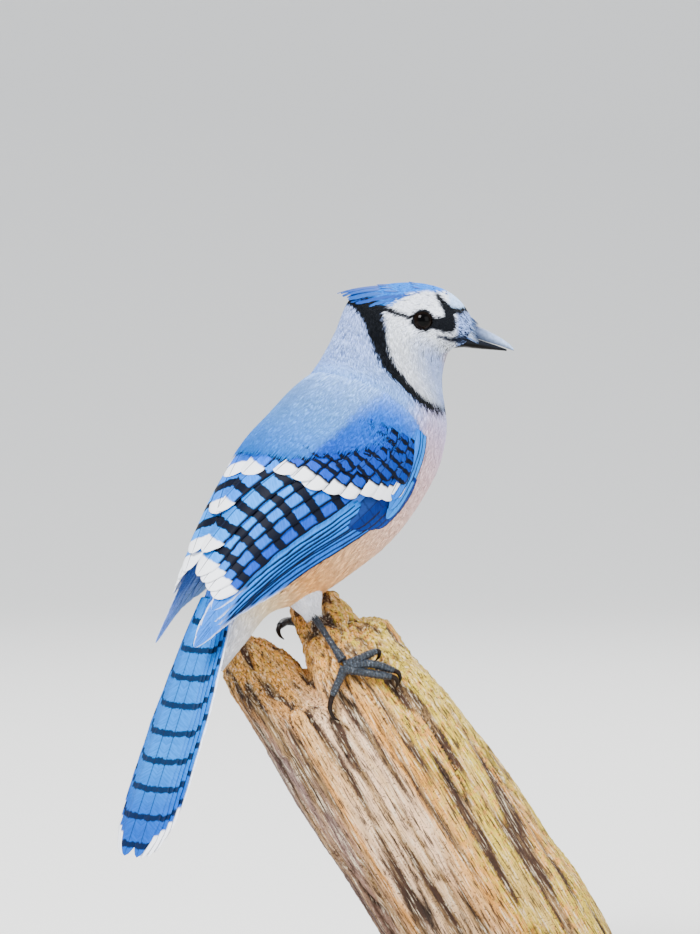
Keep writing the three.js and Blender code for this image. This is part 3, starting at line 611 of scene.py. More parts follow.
def lie_on(surface, t, angle, length, tuck, rise, sweep=0.0):
    """Paths that follow a surface from the head towards the tail, and the outward ways at their roots."""
    step = 0.03
    root = surface(t, angle, -tuck)
    out = unit(surface(t, angle, 1.0) - surface(t, angle, 0.0))
    pace = np.linalg.norm(surface(t - step, angle, 0.0) - surface(t, angle, 0.0), axis=-1) / step
    reach = np.clip(length / np.maximum(pace, 1.0), 0, 1.6)
    points = [root]
    for s, lift in ((0.5, 0.55 * rise), (1.0, rise)):
        points.append(surface(t - reach * s, angle + sweep * s, lift))
    return np.stack(points, 1), out, reach


def scatter(count, low, high, weight=None):
    """Even random places, thinned by a weight from 0 to 1."""
    places = rng.uniform(low, high, (count, 2))
    if weight is not None:
        places = places[rng.random(count) < weight(places[:, 0], places[:, 1])]
    return places[:, 0], places[:, 1]


def clump_noise(points, scale):
    """Smooth noise from -1 to 1 at points in millimetres."""
    return np.array([noise.noise(Vector(p) * scale) for p in points])


def vary(tint, points, amount=0.1, scale=0.35):
    tone = 1 + amount * (0.6 * clump_noise(points, scale) + 0.8 * rng.uniform(-1, 1, len(points)))
    return np.clip(tint * tone[:, None], 0, 1)


def body_ring_length(t):
    ux, uz, lx, lz, half, _ = np.moveaxis(between(BODY, t), -1, 0)
    return (np.hypot(ux - lx, uz - lz) / 2 + half) / 2


# the coat's feathers by their place on the body, in millimetres: finest on the face, long on the belly
COAT_PLACES = [0.25, 3, 5.5, 8, 9.6, 11.4, 13.4, 15, 18]
COAT_LENGTH = [8, 9, 8.6, 7.2, 6.0, 4.8, 3.4, 2.7, 2.4]
COAT_HALF = [0.36, 0.36, 0.35, 0.31, 0.28, 0.25, 0.22, 0.2, 0.19]
COAT_RISE = [0.8, 0.8, 0.74, 0.64, 0.56, 0.48, 0.4, 0.35, 0.33]


def coat_on_body(name, count, low, high, keep=None):
    """One stretch of the coat between two rings, even over the surface."""
    biggest = body_ring_length(np.linspace(low, high, 20)).max()

    def weight(t, angle):
        w = body_ring_length(t) / biggest
        return w * (keep(t, angle) if keep else 1)

    t, angle = scatter(count, (low, -180), (high, 180), weight)
    forward, up, _, _ = body_parts(t, angle)
    length, half, rise = (np.interp(t, COAT_PLACES, row) for row in (COAT_LENGTH, COAT_HALF, COAT_RISE))
    size = length * rng.uniform(0.8, 1.25, len(t))
    sweep = rng.normal(0, 2.2, len(t))
    rise = rise * rng.uniform(0.7, 1.5, len(t))
    path, out, reach = lie_on(body_surface, t, angle, size, 0.9, rise, sweep)
    tips = path[:, 2]
    # nothing hangs over the eyes
    yaw = math.radians(LIMB_TURN)
    tip_forward = (tips[:, 0] - NECK_X) * math.cos(yaw) + tips[:, 1] * math.sin(yaw)
    clear = np.ones(len(t), bool)
    for f, z in ((forward, up), (tip_forward, tips[:, 2]),
                 ((forward + tip_forward) / 2, (up + tips[:, 2]) / 2)):
        clear &= (from_eye(f, z) > 3.95) | (t < 11)
    t, angle, path, out, half = t[clear], angle[clear], path[clear], out[clear], half[clear]
    jitter = rng.normal(0, 0.035, (2, len(t)))
    shown = t - 0.6 * reach[clear]
    tint = vary(coat_colour(shown + jitter[0], angle + 20 * jitter[1]), path[:, 0], 0.07)
    dark = rng.random(len(t)) < dark_share(shown, angle)
    tint = np.where(dark[:, None], hexed("1a2338"), tint)
    half = half * rng.uniform(0.7, 1.3, len(t))
    return strands(name, DOWN, path, out, half, 0.14, tint, root_map(t / BODY_END, (angle + 180) / 360))


def finish_piece(piece, slot, *nodes):
    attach(piece, "root")
    if nodes:
        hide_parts(*nodes)
    return piece


def surface_skin(name, surface, low, high, rows, columns, grow, colour, material):
    """A closed skin just under a surface, in the colours that its tufts have."""
    t = np.linspace(low, high, rows)
    angle = np.linspace(-180, 180, columns, endpoint=False)
    tt, aa = np.meshgrid(t, angle, indexing="ij")
    points, quads, tris = tube_mesh(surface(tt, aa, grow))
    tint = with_ends(colour(tt, aa).reshape(-1, 3))
    return face_out(build(name, points, [quads, tris], material, tint))


def in_wing(t, angle):
    """1 where the folded wings hide the body, so that less coat is needed."""
    side = np.abs(angle)
    return smooth(t, 1.6, 2.6) * smooth(t, 7.1, 6.3) * smooth(side, 44, 58) * smooth(side, 112, 98)


def beside_wing(t, angle):
    return 1 - 0.85 * in_wing(t, angle)


def thigh_colour(t, angle):
    return np.broadcast_to(hexed("f2f3fc"), (*np.shape(t + angle), 3))


finish_piece(surface_skin("jay_skin", body_surface, 0, BODY_END, 200, 120, -0.9, coat_colour, DOWN),
             "mantle_feathers", "neck", "torso")

# the coat: finest on the face, long and loose on the belly and under the tail
for name, count, low, high, keep, slot, nodes in (
        ("coat_face", 26000, 13.6, BODY_END, None, "face_feathers", ["head"]),
        ("coat_cheek", 21800, 10.8, 13.6, None, "face_feathers", []),
        ("coat_neck", 22500, 8.0, 10.8, None, "mantle_feathers", []),
        ("coat_shoulder", 22500, 5.2, 8.0, beside_wing, "mantle_feathers", []),
        ("coat_belly", 26000, 2.2, 5.2, beside_wing, "mantle_feathers", []),
        ("coat_vent", 15000, 0.25, 2.2, None, "blue_feathers", [])):
    finish_piece(coat_on_body(name, count, low, high, keep), slot, *nodes)

for side, leg in (("right", RIGHT_LEG), ("left", LEFT_LEG)):
    surface = thigh_surface(leg)
    finish_piece(surface_skin("thigh_skin_" + side, surface, 0, 1, 20, 32, -0.5, thigh_colour, DOWN),
                 "thigh_feathers", "thigh_" + side)
    t, angle = scatter(5000, (0.1, -180), (0.95, 180))
    length, rise = 5.5 * rng.uniform(0.6, 1.2, len(t)), 1.1 * rng.uniform(0.4, 1.2, len(t))
    path, out, _ = lie_on(surface, t, angle, length, 0.5, rise, rng.normal(0, 14, len(t)))
    tint = vary(thigh_colour(t, angle), path[:, 0], 0.08)
    finish_piece(strands("thigh_down_" + side, DOWN, path, out, 0.26, 0.2, tint,
                         root_map(t, (angle + 180) / 360)), "thigh_feathers")


# Vanes of the wings
STEPS_ALONG, STEPS_ACROSS = 26, 8


def rounded(s, start):
    return np.sqrt(np.clip(1 - np.clip((s - start) / (1 - start), 0, 1) ** 2, 0, 1))


def blunt(s):
    return np.interp(s, [0, 0.15, 0.5, 1], [0.5, 0.85, 1, 0.97]) * rounded(s, 0.86)


def pointed(s):
    return np.interp(s, [0, 0.2, 0.5, 0.8, 1], [0.5, 0.95, 1, 0.84, 0.55]) * rounded(s, 0.86)


def vane(path_at, half, shape, tilt=0.0, camber=0.03, thick=0.16, nick=0.05, outer=1.0):
    """One feather as top and bottom points over a grid, with the distance from its tip."""
    s = 1 - (1 - np.linspace(0, 1, STEPS_ALONG)) ** 1.5
    v = np.linspace(-1, 1, STEPS_ACROSS + 1)
    point, out = path_at(s)
    along = unit(np.gradient(point, axis=0))
    out = unit(out - along * (out * along).sum(-1, keepdims=True))
    across = np.cross(along, out)
    length = np.linalg.norm(np.diff(point, axis=0), axis=1)
    from_tip = np.concatenate([np.cumsum(length[::-1])[::-1], [0]])
    width = np.maximum(half * shape(s), 0.06)
    ragged = 1 + nick * rng.uniform(-1, 1, (len(s), 1)) * (np.abs(v) > 0.9)
    reach = np.where(v > 0, v * outer, v)[None, :] * width[:, None] * ragged
    level = tilt * v[None, :] * (width / width.max())[:, None] - camber * reach ** 2
    sheet = point[:, None] + across[:, None] * reach[..., None] + out[:, None] * level[..., None]
    # the tip is rounded by drawing the outer barbs back
    sheet = sheet - along[:, None] * (0.05 * np.abs(reach) ** 1.3)[..., None]
    offset = out[:, None] * thick * (1 - 0.75 * np.abs(v))[None, :, None]
    return sheet + offset, sheet - offset, from_tip, v


def vane_faces(flip):
    rows, columns = STEPS_ALONG, STEPS_ACROSS + 1
    top = grid_faces(rows, columns, False)
    low = top[:, ::-1] + rows * columns
    edge = np.concatenate([np.arange(columns), np.arange(1, rows) * columns + columns - 1,
                           (rows - 1) * columns + np.arange(columns - 2, -1, -1),
                           np.arange(rows - 2, 0, -1) * columns])
    following = np.roll(edge, -1)
    rim = np.stack([following, edge, edge + rows * columns, following + rows * columns], -1)
    faces = np.concatenate([top, low, rim])
    return faces[:, ::-1] if flip else faces


def turned_over(mirror):
    """What turns points of the left wing to the right one."""
    return [1, -1, 1] if mirror else [1, 1, 1]


def vanes_piece(name, feathers, mirror=False):
    """One piece from feathers of (vane, tint, marks)."""
    points, tints, marks, uvs, faces, start = [], [], [], [], [], 0
    for (top, low, from_tip, v), tint, mark in feathers:
        grid = np.concatenate([top.reshape(-1, 3), low.reshape(-1, 3)])
        count = len(grid)
        uv = np.stack(np.meshgrid(from_tip / VANE_MM, (v + 1) / 2, indexing="ij"), -1).reshape(-1, 2)
        points.append(grid * turned_over(mirror))
        if callable(tint):
            tint = tint(*np.meshgrid(from_tip, v, indexing="ij")).reshape(-1, 3)
        upper_side = np.broadcast_to(tint, (count // 2, 3))
        # the underside is paler, as real flight feathers are below, and lightened further as painted light
        # where the far wing lies in shade; for the same reason its edges hardly darken
        underside = blend(upper_side, hexed("86b6f8"), np.full(count // 2, 0.7))
        tints.append(np.concatenate([upper_side, underside]))
        if callable(mark):
            mark = mark(*np.meshgrid(from_tip, v, indexing="ij")).reshape(-1, 4)
        half_mark = np.broadcast_to(mark, (count // 2, 4))
        # the underside keeps little of its dark edge: painted light on the shaded far wing
        marks.append(np.concatenate([half_mark, half_mark * [1, 1, 1, 0.15]]))
        uvs.append(np.concatenate([uv, uv]))
        faces.append(vane_faces(mirror) + start)
        start += count
    return build(name, np.concatenate(points), np.concatenate(faces), VANE, np.concatenate(tints),
                 np.concatenate(marks), np.concatenate(uvs))


def marked(bars=0.0, white_mm=0.0, period_mm=8.0, inner=0.0):
    return np.array([bars, white_mm / MARK_MM, period_mm / MARK_MM, inner])


def sheet_path(root, tip, lift, bow=0.0):
    def at(s):
        t = root[0] + (tip[0] - root[0]) * s
        angle = root[1] + (tip[1] - root[1]) * s + bow * np.sin(np.pi * s)
        height = lift[0] + (lift[1] - lift[0]) * s
        point = sheet_surface(t, angle, height)
        return point, unit(sheet_surface(t, angle, height + 1) - point)
    return at


def tier(count, root, tip, half, lift, tilt, shape, tint, jitter=0.05, **mark):
    """Feathers in even steps from the first root and tip to the last."""
    feathers = []
    for i in range(count):
        s = i / max(count - 1, 1)
        r = between(root, np.array(s * (len(root) - 1))) + [0, rng.normal(0, 0.4)]
        e = between(tip, np.array(s * (len(tip) - 1))) + [rng.normal(0, jitter), rng.normal(0, 0.5)]
        raised = [lift[0] + 0.03 * i, lift[1] + 0.03 * i]
        colour = (hexed(tint[0]) * (1 - s) + hexed(tint[1]) * s) * rng.uniform(0.93, 1.07)
        made = vane(sheet_path(r, e, raised), half[0] + (half[1] - half[0]) * s, shape, tilt)
        feathers.append((made, colour, marked(**mark)))
    return feathers


def cover_lift(t):
    """The height of the shoulder's coat: the body's own at the neck, and over the coverts further back."""
    return -0.9 + 1.0 * smooth(t, 0.0, 0.8) + 3.1 * smooth(t, 0.6, 2.6)


def worn_tip(blue):
    """A long feather whose tip is a little faded, with a pale line round it."""
    def tint(from_tip, v):
        faded = blend(np.broadcast_to(blue, (*v.shape, 3)), hexed("1c60bc"), 0.6 * smooth(from_tip, 34, 8))
        return blend(faded, hexed("eef3ff"), 0.9 * smooth(np.abs(v), 0.8, 0.92) * smooth(from_tip, 20, 6))
    return tint


def worn_marks(marks):
    """The dark edges of a long feather fade out toward its tip."""
    def at(from_tip, v):
        return marks * np.stack([1 + 0 * v, 1 + 0 * v, 1 + 0 * v, smooth(from_tip, 10, 24)], -1)
    return at


def wing_feathers():
    """The wing's tiers from the longest feathers up. The roots and tips are (place, angle) on its sheet."""
    primaries = tier(9, [[3.2, 84], [2.9, 98], [2.6, 110]], [[6.75, 47], [7.62, 50], [7.2, 60], [6.1, 82]],
                     [5.4, 4.3], [1.5, 1.4], 1.0, pointed, ["0080ec", "0068dc"], inner=0.7)
    flight = [(made, worn_tip(tint), worn_marks(marks)) for made, tint, marks in primaries]
    # the secondaries and the tertials
    flight += tier(4, [[2.6, 54], [2.9, 80]], [[6.15, 12], [6.55, 43]], [7, 6], [2, 2.1], 1.0, blunt,
                   ["0084ec", "0046b8"], bars=1.0, white_mm=9.5, period_mm=10.0, inner=0.4)
    flight += tier(3, [[2.1, 24], [2.3, 48]], [[3.95, 7], [4.9, -2], [5.75, 7]], [7.2, 7.8], [2.4, 3.1],
                   0.8, blunt, ["0064e0", "0088f0"], bars=1.0, white_mm=8.5, period_mm=10.0, inner=0.4)
    # the greater coverts, those of the primaries, and the median coverts
    coverts = tier(9, [[1.9, 40], [1.65, 72], [1.4, 98]], [[3.62, 32], [3.56, 62], [3.0, 86], [2.5, 101]],
                   [6.4, 5.6], [1.7, 3.4], 0.9, blunt, ["0042b8", "003898"],
                   bars=0.9, white_mm=8.2, period_mm=5.2, inner=0.4)
    coverts += tier(4, [[1.9, 98], [1.7, 112]], [[3.8, 97], [3.3, 113]], [5.2, 4.2], [2.4, 2.5], 0.7,
                    pointed, ["002068", "003088"], bars=0.2, period_mm=5.0, inner=0.5)
    coverts += tier(7, [[1.2, 44], [1.0, 98]], [[2.85, 34], [2.7, 60], [2.15, 98]], [6, 5.2], [0.9, 3.5],
                    0.7, blunt, ["003cac", "003290"], bars=1.0, period_mm=4.6, inner=0.4)
    # two rows of lesser coverts that come out from under the shoulder's down
    for place, bars, inner in ((2.0, 0.9, 0.25), (1.66, 0.7, 0.0)):
        coverts += tier(8, [[place - 0.8, 44], [place - 0.8, 100]],
                        [[place + 0.35, 40], [place, 74], [place - 0.2, 103]], [5.2, 4.2],
                        [-1.3, cover_lift(place) + 0.1], 0.4, blunt, ["004cc8", "0058cc"],
                        bars=bars, period_mm=4.2, inner=inner)
    # the thumb's feathers
    coverts += tier(3, [[0.7, 99], [0.7, 107]], [[2.6, 104], [3.0, 110]], [3.9, 3.8], [0.6, 4.1], 0.7,
                    pointed, ["0070e0", "0088f0"], inner=0.4)
    return flight, coverts


def wing_core_rings():
    """The wing's fleshy arm, which fills the space under its coverts."""
    known = [0.75, 1.4, 2.2, 3, 4, 5.1]
    edges = ([58, 41, 32, 24, 18, 18], [96, 114, 117, 110, 97, 78])
    rings = []
    for place in np.linspace(known[0], known[-1], 30):
        top, low = (np.interp(place, known, edge) for edge in edges)
        depth = np.interp(place, known, [0.4, 0.8, 1.4, 1.6, 1.3, 0.8])
        s = np.linspace(0, 1, 16)
        angle = top + (low - top) * s
        swell = np.sqrt(np.clip(1 - (2 * s - 1) ** 4, 0, 1))
        here = np.full(16, place)
        outer = sheet_surface(here, angle, 0.35 + (depth - 0.35) * swell)
        inner = sheet_surface(here, angle, np.full(16, -2.0))
        rings.append(np.concatenate([outer, inner[::-1]]))
    return np.array(rings)


def shoulder_down(name, mirror):
    """Soft scapular and lesser covert feathers that lie over the wing's root."""
    def weight(t, angle):
        edge = np.interp(angle, [6, 30, 50, 70, 90, 112], [2.9, 2.9, 2.45, 1.6, 1.25, 1.1])
        return smooth(t, edge, edge - 0.35) * (0.35 + 0.65 * smooth(t, 0.0, 0.7))

    def surface(place, angle, lift):
        return sheet_surface(place, angle, cover_lift(place) + lift)

    t, angle = scatter(30000, (0.0, -6), (3.0, 112), weight)
    size = np.interp(angle, [10, 60, 110], [9, 7, 4.5]) * rng.uniform(0.8, 1.2, len(t))
    step = 0.03
    pace = np.linalg.norm(surface(t + step, angle, 0 * t) - surface(t, angle, 0 * t), axis=-1) / step
    reach = size / np.maximum(pace, 1)
    rise = rng.uniform(0.3, 0.8, len(t))
    sweep = rng.normal(0, 1.3, len(t))
    path = np.stack([surface(t, angle, 0 * t - 2.4),
                     surface(t + reach * 0.5, angle + sweep / 2, 0.4 * rise),
                     surface(t + reach, angle + sweep, rise)], 1)
    out = unit(surface(t, angle, 0 * t + 1) - surface(t, angle, 0 * t))
    lavender = ramp(t, [0, 1.3, 2.7], ["90bcff", "64aaff", "1488fa"])
    bright = ramp(t, [0, 1.2, 2.4], ["0078f6", "0068e4", "0050cc"])
    border = np.interp(angle, [36, 46, 52, 64, 79, 98, 106], [4.5, 2.4, 1.25, 0.55, 0.5, 0.7, 0.95])
    tint = vary(blend(lavender, bright, smooth(t + 0.35 - border, -0.75, 0.6)), path[:, 0], 0.09)
    half = 0.34 * rng.uniform(0.7, 1.3, len(t))
    path, out = path * turned_over(mirror), out * turned_over(mirror)
    return strands(name, DOWN, path, out, half, 0.13, tint, root_map(t / 3.2, angle / 120))


for side, mirror in (("left", False), ("right", True)):
    flight, coverts = wing_feathers()
    finish_piece(vanes_piece("flight_" + side, flight, mirror), "blue_feathers", "wing_" + side)
    finish_piece(vanes_piece("coverts_" + side, coverts, mirror), "blue_feathers")
    rings = wing_core_rings() * turned_over(mirror)
    core_tint = np.broadcast_to(hexed("2a66c4"), (rings.shape[0] * rings.shape[1] + 2, 3))
    finish_piece(tube_piece("wing_arm_" + side, [rings], DOWN, core_tint), "blue_feathers")
    finish_piece(shoulder_down("shoulder_down_" + side, mirror), "mantle_feathers")


# Tail
TAIL_SLOPE, TAIL_ROOT, TAIL_LENGTH = 68.8, (-77.9, 181.6), 126.0
ROOF, TAIL_HALF, TAIL_PAIRS = 2.4, 22.0, 6


def tail_point(along, across, below):
    c, s = math.cos(math.radians(TAIL_SLOPE)), math.sin(math.radians(TAIL_SLOPE))
    return np.stack([TAIL_ROOT[0] - c * along + s * below, across + 0 * along,
                     TAIL_ROOT[1] - s * along - c * below], -1)


def tail_feather(pair, side):
    out_share = pair / (TAIL_PAIRS - 1)
    length = TAIL_LENGTH - 16 * out_share ** 3
    spread = np.interp(pair, range(TAIL_PAIRS), [0, 0.24, 0.48, 0.7, 0.88, 0.97])
    tip_across = 4.4 + 11.2 * spread
    root_across = 1.8 + 5.2 * spread

    def at(s):
        along = 18 + (length - 18) * s
        across = side * (root_across + (tip_across - root_across) * (along / length) ** 0.6)
        drop = ROOF * (across / TAIL_HALF) ** 2 + 0.5 * pair
        lean = 2 * ROOF * across / TAIL_HALF ** 2
        point = tail_point(along, across, drop)
        return point, unit(tail_point(along, across - lean, drop - 1) - point)

    half = 8 - 1.6 * out_share
    def shape(s):
        return blunt(s) * np.interp(s, [0, 0.5, 0.93, 1], [0.7, 1, 0.95, 0.75])

    made = vane(at, half, shape, camber=0.012)
    white = 0.0 if pair == 0 else 9.0 + 1.6 * pair
    blue = blend(hexed("0072cc"), hexed("005cb4"), out_share * rng.uniform(0.7, 1))
    outer_web = smooth(out_share, 0.85, 1)

    def tint(from_tip, v):
        # the last centimetres are deeper, and the outermost pair's outer web is white
        deep = blend(np.broadcast_to(blue, (*v.shape, 3)), hexed("0040a4"), 0.8 * smooth(from_tip, 42, 10))
        return blend(deep, WHITE, outer_web * smooth(side * v, 0.25, 0.5))

    return made, tint, marked(bars=0.46 * (pair < 5), white_mm=min(white, 19.5), period_mm=11.6)


tail_feathers = [tail_feather(pair, side) for pair in range(TAIL_PAIRS - 1, -1, -1) for side in (1, -1)]
finish_piece(vanes_piece("tail_vanes", tail_feathers), "blue_feathers", "tail")


# Crest
def crest_row(count, spread, places, lift, tip, half):
    """Crest feathers from the first place on the crown, over the second, to a tip or a third place."""
    row, crown = [], head_point(5, 0, 262)
    for i in range(count):
        share = 2 * i / (count - 1) - 1
        angle = share * spread + rng.normal(0, 1)
        ends = [body_surface(np.array(p), np.array(angle), h) for p, h in zip(places, lift)]
        if tip:
            forward, side, up = tip
            ends.append(head_point(forward + 2.6 * abs(share) + rng.normal(0, 0.6), side * share,
                                   up - 1.0 * share ** 2 + rng.normal(0, 0.3)))

        def at(s, a=ends[0], b=ends[1], c=ends[2]):
            s = s[:, None]
            point = (1 - s) ** 2 * a + 2 * s * (1 - s) * b + s ** 2 * c
            return point, unit(point - crown)

        tone = blend(hexed("007ce4"), hexed("0044b4"), rng.random())
        row.append((vane(at, half, pointed, camber=0.05, nick=0.12), tone, marked(inner=0.7)))
    return row


# four rows that reach the crest's tip, and two short ones on the forehead
crest_feathers = []
for row in ((8, 47, (14.0, 12.6), (0.1, 1.4), (-11.4, 11.5, 279.9), 2.3),
            (8, 40, (14.6, 12.9), (0.2, 2.3), (-14.6, 8.8, 281.4), 2.6),
            (7, 32, (15.4, 13.1), (0.3, 3.2), (-17.2, 6, 282.9), 2.6),
            (5, 22, (16.0, 13.4), (0.3, 3.8), (-19.2, 3.2, 284.4), 2.6),
            (7, 34, (16.6, 15.0, 13.2), (0.0, 1.2, 1.0), None, 2.0),
            (6, 28, (17.0, 15.9, 14.4), (0.0, 1.0, 0.8), None, 1.7)):
    crest_feathers += crest_row(*row)
finish_piece(vanes_piece("crest_vanes", crest_feathers), "blue_feathers")

# bristles that lie forward over the bill's root
count = 900
bristle_side = rng.choice([-1, 1], count)
row = rng.random(count)
low = 274.8 - 8.2 * row
left = bristle_side * (0.6 + 4.6 * np.sqrt(row) + rng.normal(0, 0.3, count))
start = head_point(30.5 + rng.normal(0, 0.8, count), left, low + 0.4)
length = rng.uniform(3.5, 7, count)
end = head_point(31 + length, left * 0.82, low - 0.42 * length)
middle = (start + end) / 2 + head_way(0, bristle_side * 0.3, 0.7)
out = unit(head_way(0.3, bristle_side * (0.3 + row), 0.8))
tone = ramp(rng.random(count), [0, 0.4, 0.7, 1], ["0c1222", "4f74b8", "9cbcf0", "dfe9f8"])
uv = np.stack([0.9 + 0.05 * row, 0.5 + 0.03 * bristle_side * row], -1)
path = np.stack([start, middle, end], 1)
finish_piece(strands("nasal_bristles", DOWN, path, out, 0.17, 0.18, tone, uv), "face_feathers")


# Eyes and lids
def head_half_width(forward, up):
    """How far out the head's side is at a place in the side view."""
    t, angle = np.meshgrid(np.arange(11, 18, 0.05), np.arange(20, 160, 2.0), indexing="ij")
    f, z, side, _ = body_parts(t, angle)
    k = np.argmin(np.hypot(f - forward, z - up))
    return side.ravel()[k]


def hoop_faces(turns, sides):
    """Quads round a closed hoop of rings."""
    i, j = np.meshgrid(np.arange(turns), np.arange(sides), indexing="ij")
    ring, following, beside = i * sides, (i + 1) % turns * sides, (j + 1) % sides
    return np.stack([ring + j, ring + beside, following + beside, following + j], -1).reshape(-1, 4)


LID_TURNS, LID_SIDES = 72, 10
EYE_SIDE = head_half_width(*EYE_AT)
for side, way in (("right", -1), ("left", 1)):
    centre = head_point(EYE_AT[0], way * (EYE_SIDE - 2.9), EYE_AT[1])
    outward = unit(head_way(0.16, way, 0.1))
    bpy.ops.object.select_all(action="DESELECT")
    bpy.ops.mesh.primitive_uv_sphere_add(segments=48, ring_count=32, radius=EYE_RADIUS * MM,
                                         location=to_row(centre))
    ball = bpy.context.object
    ball.name = "eyeball_" + side
    bpy.ops.object.transform_apply(location=True, rotation=True, scale=True)
    bpy.ops.object.shade_smooth()
    co = np.array([v.co for v in ball.data.vertices]) - to_row(centre)
    facing = (co / np.linalg.norm(co, axis=1, keepdims=True)) @ outward
    iris = blend(hexed("0d0704"), hexed("020202"), smooth(facing, 0.8, 0.86))
    paint(ball.data, "tint", iris)
    ball.data.materials.append(EYE)
    finish_piece(ball, "eye", "eye_" + side)

    rim = head_point(EYE_AT[0] + 0.1, way * (EYE_SIDE - 1.25), EYE_AT[1] + 0.1)
    across = unit(np.cross(outward, [0, 0, 1]))
    over = np.cross(across, outward)
    points, faces = [], []
    for radius, lift in ((3.45, 0.4), (3.95, -0.1)):
        for turn in np.linspace(0, 2 * np.pi, LID_TURNS, endpoint=False):
            # the lids draw in a little above and below, so that the opening is an oval
            squeeze = 1 - 0.17 * abs(math.sin(turn))
            spoke = across * math.cos(turn) + over * math.sin(turn) * squeeze
            thick = 0.45 * (1 + 0.1 * math.sin(turn * 36))
            middle = rim + outward * lift + spoke * radius
            points += [middle + (spoke * math.cos(a) + outward * math.sin(a)) * thick
                       for a in np.linspace(0, 2 * np.pi, LID_SIDES, endpoint=False)]
        faces.append(hoop_faces(LID_TURNS, LID_SIDES) + LID_TURNS * LID_SIDES * len(faces))
    tint = np.broadcast_to(hexed("0b0d13"), (len(points), 3))
    lids = build("eyelids_" + side, np.array(points), np.concatenate(faces), HORN, tint)
    finish_piece(face_out(lids), "eye")


# Bill
# how far forward, lower and upper edge, and half width of each half of the bill
UPPER_BILL = [[24, 265.9, 272.5, 5.2], [31, 266.3, 272.8, 4.6], [36, 266.2, 271.5, 3.9],
              [41, 264.7, 269.3, 3], [46, 263.2, 266.6, 2], [50, 261.7, 263.8, 1], [51.8, 261, 261.9, 0.35]]
LOWER_BILL = [[24, 261.6, 265.6, 4.9], [31, 262.3, 266, 4.3], [36, 261.9, 265.9, 3.6],
              [41, 261.5, 264.4, 2.7], [45.5, 261.2, 262.9, 1.7], [49, 260.9, 261.6, 0.5]]
ARCH_POINTS, TROUGH_POINTS = 22, 8


def bill_rings(rows, ridge):
    """Rings of one half of the bill, with its ridge up, 1, or down, -1."""
    turn = np.linspace(0, math.pi, ARCH_POINTS)
    under = np.linspace(-0.9, 0.9, TROUGH_POINTS)
    rings = []
    for forward, low, high, half in between(rows, np.linspace(0, len(rows) - 1, 60)):
        flat = low if ridge > 0 else high
        height = (high - low) * np.sin(turn) ** 0.8 * ridge
        arch = head_point(forward, half * np.cos(turn), flat + height)
        # the edges overhang a shallow trough along the middle
        trough = head_point(forward, half * under, flat + ridge * 0.25 * (1 - under ** 2))
        rings.append(np.concatenate([arch, trough]))
    return np.array(rings)


for name, rows, ridge, slot_node, shades in (
        ("bill_upper_sheath", UPPER_BILL, 1, "bill_upper", ("34405e", "a9c0e6")),
        ("bill_lower_sheath", LOWER_BILL, -1, "bill_lower", ("000000", "010102"))):
    rings = bill_rings(rows, ridge)
    share = np.linspace(0, 1, len(rings))[:, None] * np.ones((1, rings.shape[1]))
    # the upper half goes from dark slate at its root to pale blue toward its tip: a painted highlight
    tint = blend(hexed(shades[0]), hexed(shades[1]), smooth(share, 0.25, 0.8))
    # toward the cutting edges the colour goes to dark slate, so that the upper half stays pale only along
    # its ridge: painted shade on its sides and a painted highlight on its ridge
    arch = np.sin(np.linspace(0, math.pi, ARCH_POINTS))
    ridge_share = np.concatenate([arch, np.zeros(TROUGH_POINTS)]) * np.ones_like(share)
    tint = blend(tint, hexed("141a26"), 0.7 * smooth(ridge_share, 0.6, 0.1)).reshape(-1, 3)
    finish_piece(tube_piece(name, [rings], HORN, with_ends(tint)), "bill", slot_node)


# Legs and feet
def tube_rings(points, radii, rings, sides, scutes=0.0, pitch=1.4):
    """Round rings along a run of points, stepped like overlapping scutes, and places within a scute."""
    points = np.asarray(points, float)
    place = np.linspace(0, len(points) - 1, rings)
    centre = between(points, place)
    along = unit(np.gradient(centre, axis=0))
    across = unit(np.cross(along, [0.31, 0.86, 0.4]))
    out = np.cross(across, along)
    radius = np.interp(np.linspace(0, 1, rings), np.linspace(0, 1, len(radii)), radii)
    gone = np.concatenate([[0], np.cumsum(np.linalg.norm(np.diff(centre, axis=0), axis=1))])
    step = 1 + scutes * (1 - (gone / pitch) % 1.0)
    turn = np.linspace(0, 2 * np.pi, sides, endpoint=False)
    ways = across[:, None] * np.cos(turn)[None, :, None] + out[:, None] * np.sin(turn)[None, :, None]
    rings = centre[:, None] + ways * (radius * step)[:, None, None]
    return rings, np.repeat((gone / pitch) % 1.0, sides)


def scute_tint(place, top, joint):
    """Each scute is pale along its upper edge, which stands out, as a painted highlight, and dark in the
    joint below it.
    """
    # the pale upper edge is a painted highlight
    wear_and_highlight = smooth(place, 0.02, 0.3) * (1 - 0.55 * smooth(place, 0.5, 1.0))
    return with_ends(blend(hexed(joint), hexed(top), wear_and_highlight))


# each toe's bones from the foot out, and its claw's curve: the hind toe, then the inner, middle and outer
CLAW_RINGS, TOE_SIDES = 40, 16
RIGHT_TOES = [
    ([(-30, -24.2, 137), (-32.6, -24.6, 131), (-35, -24.4, 125.6)],
     [(-36, -25.2, 121), (-34.6, -24.6, 117), (-31.8, -23.8, 115.2)]),
    ([(-30.4, -24.2, 137.4), (-23.6, -23.4, 140.4), (-17.6, -20.8, 143)],
     [(-16.4, -20.4, 142.6), (-16.6, -19.8, 140.6), (-18, -19, 138.8)]),
    ([(-30.6, -24.2, 137.2), (-20, -24.2, 138.2), (-10.8, -21.2, 135.4)],
     [(-8.8, -21.6, 134.4), (-8, -20.8, 132), (-8.6, -19.8, 129.8)]),
    ([(-30, -24.4, 136.4), (-20, -24.8, 134.4), (-11.6, -23, 133)],
     [(-9.8, -23, 132.2), (-9.2, -22, 130), (-9.8, -21, 128.2)])]
